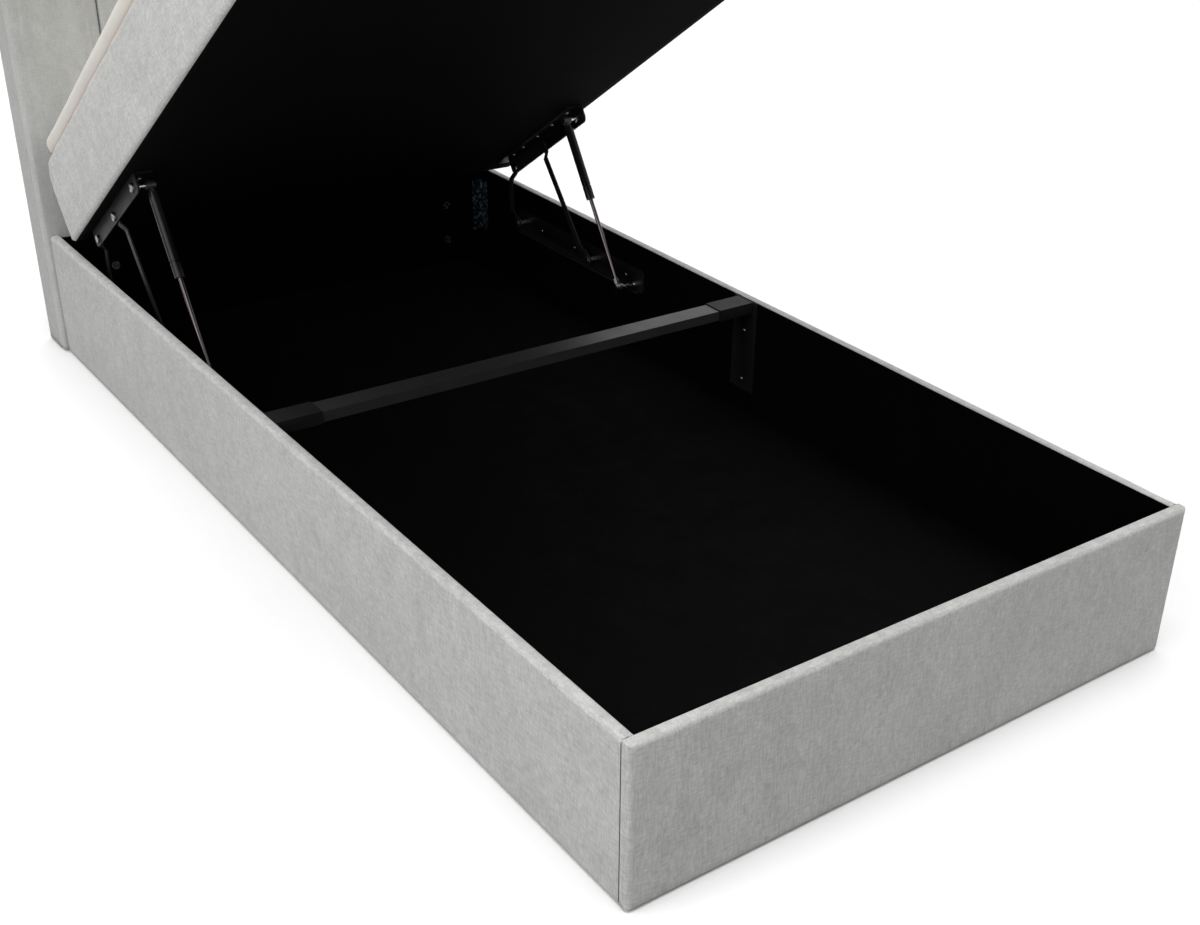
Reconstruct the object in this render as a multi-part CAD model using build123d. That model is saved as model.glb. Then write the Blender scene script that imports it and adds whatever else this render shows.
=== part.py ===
from build123d import *
import math
import os

# Millimetres. +X is to the right as seen from the foot, +Y runs from foot to head, +Z is up.
# The origin is on the floor, under the middle of the outline of the whole bed.

# Whole bed
bed_width = 1000.0
base_length = 2010.0
rim_height = 250.0
glide_height = 5.0

# Upholstered panels of the storage base
board_thickness = 16.0
board_edge_radius = 7.0
panel_cover_thickness = 1.0
cover_lap_depth = 10.0
lining_thickness = 1.0
head_panel_drop = 6.0

# Floor of the storage box
ledger_width = 20.0
ledger_height = 18.0
cross_batten_width = 60.0
floor_board_thickness = 8.0
floor_gap = 0.5

# Glides under the base and the headboard
glide_radius = 14.0
glide_inset = 22.0
side_glide_shares = (0.03, 0.5, 0.97)
headboard_glide_share = 0.4

# Crossbar and its wall brackets
crossbar_depth = 40.0
crossbar_height = 18.0
crossbar_wall = 1.5
crossbar_drop = 5.0
crossbar_place_share = 0.5
sleeve_length = 78.0
sleeve_wall = 1.8
sleeve_clearance = 0.2
wall_plate_width = 67.0
wall_plate_bottom = 62.0
wall_plate_bolt_inset = 20.0
wall_plate_bolt_below_rim = 67.0

# Perforated corner angles
angle_leg = 26.0
angle_thickness = 2.0
angle_below_rim = 31.0
angle_height = 118.0
angle_bend_radius = 2.0
angle_hole_radius = 3.0
angle_hole_count = 5

# Small coach bolts: a low head on a square neck
bolt_head_radius = 5.0
bolt_head_height = 2.4
bolt_head_taper = 35.0
bolt_neck = 4.0
bolt_neck_clearance = 0.1

# Headboard
headboard_overhang = 9.0
headboard_height = 1150.0
headboard_channels = 6
channel_depth = 27.0
channel_crown = 2.0
channel_edge_radius = 10.0
channel_gap = 2.0
channel_top_radius = 20.0
channel_top_drop = 2.0
headboard_board_thickness = 16.0
headboard_frame_depth = 50.0
headboard_frame_rail = 45.0
headboard_cover_thickness = 1.0
headboard_bolt_neck = 8.0
headboard_bolt_head_radius = 9.0
headboard_bolt_head_height = 4.0
headboard_bolt_inset = 96.5
headboard_bolt_heights = (90.0, 173.5)
headboard_bolt_clearance = 0.2
headboard_nut_radius = 7.5
headboard_nut_height = 6.5

# Lid: sprung mattress on a timber frame, in its closed place
lid_side_gap = 2.0
lid_thickness = 168.0
lid_foot_gap = 8.0
lid_head_gap = 8.0
lid_rest_gap = 1.0
lid_side_bulge = 3.0
lid_shoulder_radius = 42.0
lid_lower_radius = 8.0
lid_corner_radius = 38.0
lid_cover_thickness = 1.5
lid_cover_lap = 12.0
lid_rail_width = 70.0
lid_rail_height = 50.0
lid_rail_inset = 6.0
slat_width = 68.0
slat_thickness = 12.0
slat_count = 11
spring_core_height = 62.0
spring_core_inset = 22.0
spring_core_corner_radius = 30.0
lid_foam_fit = 0.3

# Topper on the lid
topper_side_inset = 7.0
topper_end_inset = 18.0
topper_thickness = 38.0
topper_crown = 4.0
topper_side_bulge = 1.0
topper_shoulder_radius = 14.0
topper_lower_radius = 12.0
topper_corner_radius = 16.0
topper_cover_thickness = 1.2
end_rise_share = 0.125

# Lift linkage: places of the pivots on the base
pivot_below_rim = 78.5
rear_pivot_from_head = 213.0
strut_foot_from_head = 648.0
strut_foot_below_rim = 87.0

# Lift linkage: links and the places of the pivots on the lid
lid_open_angle = 33.3
rear_link_open_angle = 88.5
rear_link_centres = 130.0
rear_link_bow = 13.0
lid_pivot_spacing = 138.5
lid_pivot_drop = 22.5
strut_pivot_from_rear = 293.0
strut_pivot_drop = 18.0
link_width = 14.0
link_thickness = 3.0
link_eye_radius = 10.0
link_eye_stretch = 16.0
link_crank_stretch = 12.0
link_crank = 8.0

# Lift linkage: plates, pins and their clearances
base_plate_thickness = 3.0
base_plate_height = 50.0
base_plate_overhang = 26.0
base_plate_corner_radius = 12.0
base_plate_lip = 9.0
base_plate_bolt_shares = (0.13, 0.53, 0.8)
pivot_pin_radius = 5.0
pivot_pin_clearance = 0.05
pivot_collar_radius = 7.0
pivot_head_radius = 7.5
pivot_head_height = 4.0
link_side_clearance = 0.3
hex_head_radius = 8.0
hex_head_height = 4.5
pivot_standoff = 16.0
lid_bracket_leg = 36.0
lid_bracket_flange = 34.0
lid_bracket_thickness = 3.0
lid_bracket_overhang = 27.0
lid_bracket_end_radius = 12.0
lid_bracket_bolt_shares = (0.1, 0.3, 0.5, 0.7, 0.84)

# Gas springs
strut_standoff = 28.0
cylinder_radius = 9.0
cylinder_wall = 1.2
cylinder_from_pivot = 14.0
cylinder_end_from_pivot = 170.0
cylinder_cap = 4.0
cylinder_groove_from_end = 29.0
cylinder_groove_depth = 0.8
cylinder_groove_width = 3.0
guide_length = 20.0
rod_radius = 4.0
rod_clearance = 0.05
piston_length = 8.0
piston_clearance = 0.15
socket_radius = 8.5
socket_neck_radius = 5.5
socket_neck_length = 20.0
stud_radius = 4.0
stud_clearance = 0.05
stud_wall = 4.0
stud_end_gap = 0.3
stud_collar_radius = 8.0
stud_collar_height = 7.0

# One overrun serves all cuts
overrun = 10.0

# Lengths and places worked out from the sizes above
headboard_depth = (
    channel_depth + headboard_board_thickness + headboard_frame_depth + headboard_cover_thickness
)
overall_length = base_length + headboard_depth
y_foot = -overall_length / 2
y_head = y_foot + base_length
y_back = y_head + headboard_depth
half_width = bed_width / 2
panel_thickness = board_thickness + 2 * panel_cover_thickness
inner_half_width = half_width - panel_thickness
y_foot_inside = y_foot + panel_thickness
y_head_inside = y_head - board_thickness - lining_thickness
board_top = rim_height - panel_cover_thickness
lining_top = rim_height - cover_lap_depth
floor_underside = glide_height + ledger_height
floor_top = floor_underside + floor_board_thickness
headboard_width = bed_width + 2 * headboard_overhang
half_headboard = headboard_width / 2
headboard_bolt_x = inner_half_width - headboard_bolt_inset
y_pad_back = y_head + channel_depth
y_board_back = y_pad_back + headboard_board_thickness
crossbar_y = y_foot + base_length * crossbar_place_share
crossbar_top = rim_height - crossbar_drop
wall_plate_bolt_heights = (
    wall_plate_bottom + wall_plate_bolt_inset,
    rim_height - wall_plate_bolt_below_rim,
)
angle_top = rim_height - angle_below_rim
angle_bottom = angle_top - angle_height
plate_face = inner_half_width - base_plate_thickness
pivot_height = rim_height - pivot_below_rim
strut_foot_height = rim_height - strut_foot_below_rim

lid_underside = rim_height + lid_rest_gap
lid_y_foot = y_foot + lid_foot_gap
lid_y_head = y_head - lid_head_gap
lid_width = bed_width - 2 * lid_side_gap
lid_length = lid_y_head - lid_y_foot
topper_width = lid_width - 2 * topper_side_inset
topper_length = lid_length - 2 * topper_end_inset
lid_y_middle = (lid_y_foot + lid_y_head) / 2
rails_bottom = lid_cover_thickness
slats_bottom = rails_bottom + lid_rail_height
core_bottom = slats_bottom + slat_thickness
foam_bottom = core_bottom + spring_core_height

bracket_plane = plate_face - pivot_standoff
bracket_outside = bracket_plane + lid_bracket_thickness
link_eye_plane = bracket_plane - link_side_clearance - link_thickness
strut_plane = bracket_plane - strut_standoff


# Lift linkage in the plane of its motion, as (y, z) places

def polar(origin, length, degrees):
    """The place at a length and an angle from an origin, measured from +Y towards +Z."""
    angle = math.radians(degrees)
    return (origin[0] + length * math.cos(angle), origin[1] + length * math.sin(angle))


def reach(start, end):
    """Length and angle from one place to another."""
    dy, dz = end[0] - start[0], end[1] - start[1]
    return math.hypot(dy, dz), math.degrees(math.atan2(dz, dy))


rear_base_pivot = (y_head - rear_pivot_from_head, pivot_height)
rear_lid_pivot = polar(rear_base_pivot, rear_link_centres, rear_link_open_angle)
closed_pivot_height = lid_underside - lid_pivot_drop
rear_link_closed_angle = math.degrees(math.asin((closed_pivot_height - pivot_height) / rear_link_centres))
rear_lid_pivot_closed = polar(rear_base_pivot, rear_link_centres, rear_link_closed_angle)


def lid_place_open(closed):
    """Where a place on the closed lid lies when the lid is open."""
    length, angle = reach(rear_lid_pivot_closed, closed)
    return polar(rear_lid_pivot, length, angle - lid_open_angle)


front_lid_pivot_closed = (rear_lid_pivot_closed[0] - lid_pivot_spacing, closed_pivot_height)
front_lid_pivot = lid_place_open(front_lid_pivot_closed)
strut_lid_pivot_closed = (rear_lid_pivot_closed[0] - strut_pivot_from_rear, lid_underside - strut_pivot_drop)
strut_lid_pivot = lid_place_open(strut_lid_pivot_closed)

# The front base pivot is as far from the open as from the closed place of the front lid pivot
travel_y = front_lid_pivot_closed[0] - front_lid_pivot[0]
travel_z = front_lid_pivot_closed[1] - front_lid_pivot[1]
middle_y = (front_lid_pivot_closed[0] + front_lid_pivot[0]) / 2
middle_z = (front_lid_pivot_closed[1] + front_lid_pivot[1]) / 2
front_base_pivot = (middle_y - travel_z * (pivot_height - middle_z) / travel_y, pivot_height)
front_link_length, front_link_open_angle = reach(front_base_pivot, front_lid_pivot)
front_link_closed_angle = reach(front_base_pivot, front_lid_pivot_closed)[1]

strut_base_pivot = (y_head - strut_foot_from_head, strut_foot_height)
strut_open_length, strut_open_angle = reach(strut_base_pivot, strut_lid_pivot)
strut_closed_length, strut_closed_angle = reach(strut_base_pivot, strut_lid_pivot_closed)


# Helpers

def block(x0, x1, y0, y1, z0, z1):
    """A box from its lowest to its highest corner."""
    return Pos((x0 + x1) / 2, (y0 + y1) / 2, (z0 + z1) / 2) * Box(x1 - x0, y1 - y0, z1 - z0)


def along_y(section, y0, y1):
    """Extrudes a section drawn in X and Z from y0 to y1."""
    plane = Plane(origin=(0, y0, 0), x_dir=(1, 0, 0), z_dir=(0, -1, 0))
    return extrude(plane * section, amount=-(y1 - y0))


def along_x(section, x0, x1):
    """Extrudes a section drawn in Y and Z from x0 to x1."""
    plane = Plane(origin=(x0, 0, 0), x_dir=(0, 1, 0), z_dir=(1, 0, 0))
    return extrude(plane * section, amount=x1 - x0)


def rod_along_x(radius, x0, x1, y, z):
    """A round bar from x0 to x1."""
    return along_x(Pos(y, z) * Circle(radius), x0, x1)


def hex_along_x(radius, x0, x1, y, z):
    """A six-sided bar from x0 to x1."""
    return along_x(Pos(y, z) * RegularPolygon(radius, 6), x0, x1)


def mirrored(shape):
    """The same piece on the other side of the bed."""
    return mirror(shape, about=Plane.YZ)


def place(shape, pivot, degrees):
    """Turns a piece drawn along +Y from its pivot to its angle and moves it to the pivot."""
    return Pos(0, pivot[0], pivot[1]) * Rot(degrees, 0, 0) * shape


def open_lid(shape):
    """Moves a piece of the closed lid to its place on the open lid."""
    to_pivot = Pos(0, -rear_lid_pivot_closed[0], -rear_lid_pivot_closed[1])
    return place(to_pivot * shape, rear_lid_pivot, -lid_open_angle)


def coach_bolt(length, facing):
    """A small coach bolt: underside of its head at the origin, its square neck against facing."""
    head = extrude(RegularPolygon(bolt_head_radius, 8), amount=bolt_head_height, taper=bolt_head_taper)
    neck = Pos(0, 0, -length / 2) * Box(bolt_neck, bolt_neck, length)
    return Plane(origin=(0, 0, 0), x_dir=(0, 1, 0), z_dir=facing) * (head + neck)


def hole_along_x():
    """The square hole round the origin, along X, that a small coach bolt's neck passes through."""
    side = bolt_neck + 2 * bolt_neck_clearance
    return Box(2 * overrun, side, side)


def save(name, shapes):
    """Writes one node from one piece or from a list of separate pieces."""
    if isinstance(shapes, list):
        shapes = Compound(children=shapes)
    export_step(shapes, f"parts/{name}.step")


# Storage base: panels and covers

def panel_section(low, high, bottom, top, radius):
    """Upright panel section with both top edges rounded."""
    middle, centre = (low + high) / 2, (bottom + top) / 2
    section = Pos(middle, centre) * Rectangle(high - low, top - bottom)
    return fillet(section.vertices().group_by(Axis.Y)[-1], radius)


def side_board():
    high = half_width - panel_cover_thickness
    section = panel_section(high - board_thickness, high, glide_height, board_top, board_edge_radius)
    return along_y(section, y_foot_inside, y_head)


def side_cover():
    radius = board_edge_radius + panel_cover_thickness
    outside = panel_section(inner_half_width, half_width, glide_height, rim_height, radius)
    board_outer = half_width - panel_cover_thickness
    board_inner = board_outer - board_thickness
    inside = panel_section(board_inner, board_outer, glide_height, board_top, board_edge_radius)
    below_lap = Pos(board_inner - overrun, lining_top) * Rectangle(
        overrun, rim_height, align=(Align.MIN, Align.MAX)
    )
    return along_y(outside - inside - below_lap, y_foot_inside, y_head)


def foot_form(half_length, y0, y1, top, radius):
    """Foot panel form with rounded top edges and rounded outer upright corners."""
    form = block(-half_length, half_length, y0, y1, glide_height, top)
    long_edges = form.edges().filter_by(Axis.X).group_by(Axis.Z)[-1]
    corners = form.edges().filter_by(Axis.Z).group_by(Axis.Y)[0]
    return fillet(long_edges + corners, radius)


def foot_board():
    y0 = y_foot + panel_cover_thickness
    return foot_form(
        half_width - panel_cover_thickness, y0, y0 + board_thickness, board_top, board_edge_radius
    )


def foot_cover():
    radius = board_edge_radius + panel_cover_thickness
    form = foot_form(half_width, y_foot, y_foot_inside, rim_height, radius) - foot_board()
    y_board = y_foot + panel_cover_thickness + board_thickness
    inside = block(
        -inner_half_width, inner_half_width, y_board, y_foot_inside + overrun, 0, lining_top
    )
    return form - inside


def headboard_bolt_holes(y0, y1):
    """Square holes for the coach bolts that join the headboard to the base."""
    width = headboard_bolt_neck + 2 * headboard_bolt_clearance
    holes = []
    for side in (-1, 1):
        for z in headboard_bolt_heights:
            hole = along_y(Pos(side * headboard_bolt_x, z) * Rectangle(width, width), y0, y1)
            holes.append(hole)
    return holes


def head_panel():
    half = inner_half_width + lining_thickness
    panel = block(-half, half, y_head - board_thickness, y_head, glide_height, rim_height - head_panel_drop)
    panel = panel - side_cover() - mirrored(side_cover())
    return panel - headboard_bolt_holes(y_head - board_thickness - overrun, y_head + overrun)


def lining_sheets():
    """Black lining on the inner faces: left, right, foot and head."""
    outer = inner_half_width + lining_thickness
    y_head_board = y_head_inside + lining_thickness
    side = block(inner_half_width, outer, y_foot_inside, y_head_board, floor_top, lining_top)
    for z in wall_plate_bolt_heights:
        side -= Pos(inner_half_width, crossbar_y, z) * hole_along_x()
    for y in base_plate_bolt_places():
        side -= Pos(inner_half_width, y, pivot_height) * hole_along_x()
    y_board = y_foot_inside - lining_thickness
    foot = block(-inner_half_width, inner_half_width, y_board, y_foot_inside, floor_top, lining_top)
    head = block(-inner_half_width, inner_half_width, y_head_inside, y_head_board, floor_top, lining_top)
    head -= headboard_bolt_holes(y_head_inside - overrun, y_head)
    return [side, mirrored(side), foot, head]


# Storage base: floor

def floor_ledgers():
    """Ledger strips screwed along the two side boards."""
    outer = inner_half_width + lining_thickness
    y_head_board = y_head_inside + lining_thickness
    strip = block(outer - ledger_width, outer, y_foot_inside, y_head_board, glide_height, floor_underside)
    return [strip, mirrored(strip)]


def floor_cross_battens():
    """Battens from ledger to ledger: at both ends, at the joint of the floor boards and between."""
    half = inner_half_width + lining_thickness - ledger_width
    first, last = y_foot_inside, y_head_inside + lining_thickness
    spacing = (last - first - cross_batten_width) / 4
    battens = []
    for index in range(5):
        y0 = first + index * spacing
        battens.append(block(-half, half, y0, y0 + cross_batten_width, glide_height, floor_underside))
    return battens


def floor_board(front):
    """One of the two loose boards that form the storage floor."""
    half = inner_half_width + lining_thickness - floor_gap
    first = y_foot_inside + floor_gap
    last = y_head_inside + lining_thickness - floor_gap
    middle = (first + last) / 2
    if front:
        return block(-half, half, first, middle - floor_gap / 2, floor_underside, floor_top)
    return block(-half, half, middle + floor_gap / 2, last, floor_underside, floor_top)


def floor_glides():
    """Round glides that hold the panels just off the floor."""
    glide = extrude(RegularPolygon(glide_radius, 12), amount=glide_height)
    glides = []
    for side in (-1, 1):
        for share in side_glide_shares:
            glides.append(Pos(side * (half_width - glide_inset), y_foot + share * base_length, 0) * glide)
        x = side * headboard_glide_share * headboard_width
        glides.append(Pos(x, (y_pad_back + y_board_back) / 2, 0) * glide)
    return glides


# Storage base: crossbar and corner angles

def crossbar():
    """Steel tube across the middle of the box that keeps the long sides from bowing."""
    half = inner_half_width - base_plate_thickness - sleeve_clearance
    y0, y1 = crossbar_y - crossbar_depth / 2, crossbar_y + crossbar_depth / 2
    z0, z1 = crossbar_top - crossbar_height, crossbar_top
    tube = block(-half, half, y0, y1, z0, z1)
    wall = crossbar_wall
    return tube - block(-half - overrun, half + overrun, y0 + wall, y1 - wall, z0 + wall, z1 - wall)


def crossbar_bracket():
    """Wall plate with a sleeve that takes one end of the crossbar."""
    grow = sleeve_clearance + sleeve_wall
    y0, y1 = crossbar_y - crossbar_depth / 2, crossbar_y + crossbar_depth / 2
    z0, z1 = crossbar_top - crossbar_height, crossbar_top
    sleeve = block(plate_face - sleeve_length, plate_face, y0 - grow, y1 + grow, z0 - grow, z1 + grow)
    room = sleeve_clearance
    bore = block(
        plate_face - sleeve_length - overrun, plate_face, y0 - room, y1 + room, z0 - room, z1 + room
    )
    half_plate = wall_plate_width / 2
    plate_low, plate_high = crossbar_y - half_plate, crossbar_y + half_plate
    plate = block(plate_face, inner_half_width, plate_low, plate_high, wall_plate_bottom, z1 + grow)
    bracket = sleeve - bore + plate
    for z in wall_plate_bolt_heights:
        bracket -= Pos(inner_half_width, crossbar_y, z) * hole_along_x()
    return bracket


def crossbar_bolts():
    """Bolts of the crossbar's wall plates."""
    bolt = coach_bolt(base_plate_thickness + lining_thickness, (-1, 0, 0))
    bolts = [Pos(plate_face, crossbar_y, z) * bolt for z in wall_plate_bolt_heights]
    return bolts + [mirrored(item) for item in bolts]


def corner_angle():
    """Perforated zinc angle in the head-right corner."""
    corner_x, corner_y = inner_half_width, y_head_inside
    side = block(corner_x - angle_thickness, corner_x, corner_y - angle_leg, corner_y, angle_bottom, angle_top)
    head = block(corner_x - angle_leg, corner_x, corner_y - angle_thickness, corner_y, angle_bottom, angle_top)
    angle = side + head
    inner_bend = angle.edges().filter_by(Axis.Z).sort_by_distance(
        (corner_x - angle_thickness, corner_y - angle_thickness, (angle_bottom + angle_top) / 2)
    )[0]
    angle = fillet(inner_bend, angle_bend_radius)
    pitch = angle_height / angle_hole_count
    reach_in = (angle_leg + angle_thickness) / 2
    for index in range(angle_hole_count):
        z = angle_bottom + (index + 0.5) * pitch
        hole = RegularPolygon(angle_hole_radius, 6)
        angle -= along_x(Pos(corner_y - reach_in, z) * hole, corner_x - overrun, corner_x + overrun)
        angle -= along_y(Pos(corner_x - reach_in, z) * hole, corner_y - overrun, corner_y + overrun)
    return angle


def corner_angles():
    """The angle of each corner: the foot pair are mirror images of the head pair."""
    head = corner_angle()
    turn = Plane(origin=(0, (y_head_inside + y_foot_inside) / 2, 0), z_dir=(0, 1, 0))
    foot = mirror(head, about=turn)
    return [head, mirrored(head), foot, mirrored(foot)]


# Headboard

def channel_section(width):
    """Plan of one padded channel: flat back at y = 0, rounded edges and a slightly crowned face towards -Y."""
    half, radius = width / 2, channel_edge_radius
    face = channel_depth - channel_crown
    side = face - radius
    slant = radius * math.sqrt(0.5)
    right = Line((0, 0), (half, 0)) + Line((half, 0), (half, -side))
    right += ThreePointArc((half, -side), (half - radius + slant, -side - slant), (half - radius, -face))
    crown = ThreePointArc((half - radius, -face), (0, -channel_depth), (radius - half, -face))
    return make_face(right + crown + mirror(right, about=Plane.YZ))


def headboard_channel(index):
    """One upright padded channel of the headboard's face."""
    pitch = headboard_width / headboard_channels
    x = -half_headboard + (index + 0.5) * pitch
    bottom = rim_height
    top = headboard_height - channel_top_drop
    plan = channel_section(pitch - channel_gap)
    pad = extrude(Pos(x, y_pad_back, bottom) * plan, amount=top - bottom)
    profile = Pos(y_pad_back, (bottom + top) / 2) * Rectangle(2 * channel_depth, top - bottom)
    profile = fillet(profile.vertices().group_by(Axis.X)[0].group_by(Axis.Y)[-1], channel_top_radius)
    return pad & along_x(profile, x - pitch / 2, x + pitch / 2)


def headboard_base_block():
    """Board below the channels that the base is bolted to."""
    form = block(-half_headboard, half_headboard, y_head, y_pad_back, glide_height, rim_height)
    corners = form.edges().filter_by(Axis.Z).group_by(Axis.Y)[0]
    form = fillet(corners, channel_edge_radius)
    return form - headboard_bolt_holes(y_head - overrun, y_pad_back + overrun)


def headboard_board():
    """Face board that carries the channels."""
    half = half_headboard - headboard_cover_thickness
    top = headboard_height - headboard_cover_thickness
    board = block(-half, half, y_pad_back, y_board_back, glide_height, top)
    return board - headboard_bolt_holes(y_pad_back - overrun, y_board_back + overrun)


def headboard_frame():
    """Timber frame behind the face board, with a middle rail."""
    half = half_headboard - headboard_cover_thickness
    top = headboard_height - headboard_cover_thickness
    rail = headboard_frame_rail
    y1 = y_board_back + headboard_frame_depth
    frame = block(-half, half, y_board_back, y1, glide_height, top)
    middle = (glide_height + top) / 2
    for z0, z1 in ((glide_height + rail, middle - rail / 2), (middle + rail / 2, top - rail)):
        frame -= block(-half + rail, half - rail, y_board_back - overrun, y1 + overrun, z0, z1)
    return frame


def headboard_cover():
    """Fabric round both sides and the top of the face board and frame."""
    y1 = y_back - headboard_cover_thickness
    inner_half = half_headboard - headboard_cover_thickness
    inner_top = headboard_height - headboard_cover_thickness
    outside = block(-half_headboard, half_headboard, y_pad_back, y1, glide_height, headboard_height)
    return outside - block(-inner_half, inner_half, y_pad_back - overrun, y1 + overrun, 0, inner_top)


def headboard_back_cloth():
    """Black cloth stapled over the back of the frame."""
    y0 = y_back - headboard_cover_thickness
    return block(-half_headboard, half_headboard, y0, y_back, glide_height, headboard_height)


def headboard_bolts():
    """Bolts from inside the box through the head panel into the headboard, with their nuts."""
    y0 = y_head_inside - headboard_bolt_head_height
    y1 = y_board_back + headboard_nut_height
    bolts = []
    for side in (-1, 1):
        for z in headboard_bolt_heights:
            centre = Pos(side * headboard_bolt_x, z)
            head = along_y(centre * RegularPolygon(headboard_bolt_head_radius, 8), y0, y_head_inside)
            neck = along_y(centre * Rectangle(headboard_bolt_neck, headboard_bolt_neck), y_head_inside, y1)
            nut = along_y(centre * RegularPolygon(headboard_nut_radius, 6), y_board_back, y1)
            bolts.append(head + neck + nut)
    return bolts


# Lid

def crowned_section(width, height, crown, bulge, shoulder, lower):
    """Upholstered section: flat bottom, drawn-in rounded lower edges, full sides, round shoulders."""
    edge = width / 2 - bulge
    side_low, side_high = lower, height - crown - shoulder
    top = side_high + shoulder
    slant = math.sqrt(0.5)
    low_slant, high_slant = lower * slant, shoulder * slant
    low_middle = (edge - lower + low_slant, lower - low_slant)
    high_middle = (edge - shoulder + high_slant, side_high + high_slant)
    right = Line((0, 0), (edge - lower, 0))
    right += ThreePointArc((edge - lower, 0), low_middle, (edge, lower))
    right += ThreePointArc((edge, side_low), (edge + bulge, (side_low + side_high) / 2), (edge, side_high))
    right += ThreePointArc((edge, side_high), high_middle, (edge - shoulder, top))
    left = mirror(right, about=Plane.YZ)
    if crown > 0:
        cap = ThreePointArc((edge - shoulder, top), (0, height), (shoulder - edge, top))
    else:
        cap = Line((edge - shoulder, top), (shoulder - edge, top))
    return make_face(right + cap + left)


def crowned_block(width, length, height, crown, bulge, shoulder, lower, corner):
    """Upholstered block on z = 0, centred on the origin: its ends rise a little above its crown and cut it."""
    across = along_y(crowned_section(width, height, crown, bulge, shoulder, lower), -length / 2, length / 2)
    end_height = height + crown * end_rise_share
    lengthwise = along_x(crowned_section(length, end_height, 0, bulge, shoulder, lower), -width / 2, width / 2)
    plan = extrude(RectangleRounded(width, length, corner), amount=height)
    return across & lengthwise & plan


def lid_block(inset, top_inset):
    """Upholstered outline of the lid, drawn in by an inset."""
    return crowned_block(
        lid_width - 2 * inset,
        lid_length - 2 * inset,
        lid_thickness - top_inset,
        0,
        lid_side_bulge,
        lid_shoulder_radius - inset,
        lid_lower_radius - inset,
        lid_corner_radius - inset,
    )


def at_lid(shape):
    """Moves a piece drawn on z = 0 round the lid's middle to the closed lid."""
    return Pos(0, lid_y_middle, lid_underside) * shape


def lid_cover():
    """Fabric border and top of the lid, lapped under its lower edge."""
    room = lid_block(lid_cover_thickness, lid_cover_thickness)
    room &= Pos(0, 0, lid_cover_thickness) * Box(
        lid_width, lid_length, lid_thickness, align=(Align.CENTER, Align.CENTER, Align.MIN)
    )
    half_x, half_y = lid_width / 2 - lid_cover_lap, lid_length / 2 - lid_cover_lap
    window = block(-half_x, half_x, -half_y, half_y, -overrun, 2 * lid_cover_thickness)
    return at_lid(lid_block(0, 0) - room - window)


def lid_underside_cloth():
    """Black cloth that closes the underside, inside the cover's lap."""
    half_x, half_y = lid_width / 2 - lid_cover_lap, lid_length / 2 - lid_cover_lap
    return at_lid(block(-half_x, half_x, -half_y, half_y, 0, lid_cover_thickness))


def lid_side_rails():
    """Long timber rails of the lid's frame."""
    outer = lid_width / 2 - lid_cover_thickness - lid_rail_inset
    half_y = lid_length / 2 - lid_cover_thickness - lid_rail_inset
    rail = block(outer - lid_rail_width, outer, -half_y, half_y, rails_bottom, slats_bottom)
    corners = rail.edges().filter_by(Axis.Z).group_by(Axis.X)[-1]
    rail = at_lid(fillet(corners, lid_corner_radius / 2))
    return [rail, mirrored(rail)]


def lid_end_rails():
    """Short timber rails of the lid's frame."""
    half_x = lid_width / 2 - lid_cover_thickness - lid_rail_inset - lid_rail_width
    outer = lid_length / 2 - lid_cover_thickness - lid_rail_inset
    head = block(-half_x, half_x, outer - lid_rail_width, outer, rails_bottom, slats_bottom)
    foot = block(-half_x, half_x, -outer, lid_rail_width - outer, rails_bottom, slats_bottom)
    return [at_lid(head), at_lid(foot)]


def lid_slats():
    """Slats across the frame that carry the spring core."""
    half_x = lid_width / 2 - lid_cover_thickness - 2 * lid_rail_inset
    half_y = lid_length / 2 - lid_cover_thickness - lid_rail_inset - lid_corner_radius
    pitch = (2 * half_y - slat_width) / (slat_count - 1)
    slats = []
    for index in range(slat_count):
        y0 = -half_y + index * pitch
        slats.append(at_lid(block(-half_x, half_x, y0, y0 + slat_width, slats_bottom, core_bottom)))
    return slats


def spring_core():
    """Spring unit of the mattress, as the block that its pockets fill."""
    width = lid_width - 2 * spring_core_inset
    length = lid_length - 2 * spring_core_inset
    plan = RectangleRounded(width, length, spring_core_corner_radius)
    return at_lid(extrude(Pos(0, 0, core_bottom) * plan, amount=spring_core_height))


def lid_foam():
    """Foam over the spring core that rounds the mattress's shoulders."""
    inset = lid_cover_thickness + lid_foam_fit
    foam = lid_block(inset, inset)
    below = block(-lid_width, lid_width, -lid_length, lid_length, -overrun, foam_bottom)
    return at_lid(foam - below)


def topper_block(inset):
    """Rounded outline of the topper on z = 0, drawn in by an inset."""
    return crowned_block(
        topper_width - 2 * inset,
        topper_length - 2 * inset,
        topper_thickness - 2 * inset,
        topper_crown,
        topper_side_bulge,
        topper_shoulder_radius - inset,
        topper_lower_radius - inset,
        topper_corner_radius - inset,
    )


def topper_core():
    """Foam slab inside the topper's cover."""
    inset = topper_cover_thickness + lid_foam_fit / 2
    return at_lid(Pos(0, 0, lid_thickness + inset) * topper_block(inset))


def topper_cover():
    """Cover of the topper, closed all round."""
    inset = topper_cover_thickness
    shell = topper_block(0) - Pos(0, 0, inset) * topper_block(inset)
    return at_lid(Pos(0, 0, lid_thickness) * shell)


# Lift linkage: base side

def base_plate_ends():
    """Ends of the base plate along Y."""
    return strut_base_pivot[0] - base_plate_overhang, rear_base_pivot[0] + base_plate_overhang


def base_plate_bolt_places():
    """Places of the base plate's bolts along Y."""
    first, last = base_plate_ends()
    return [first + share * (last - first) for share in base_plate_bolt_shares]


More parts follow.
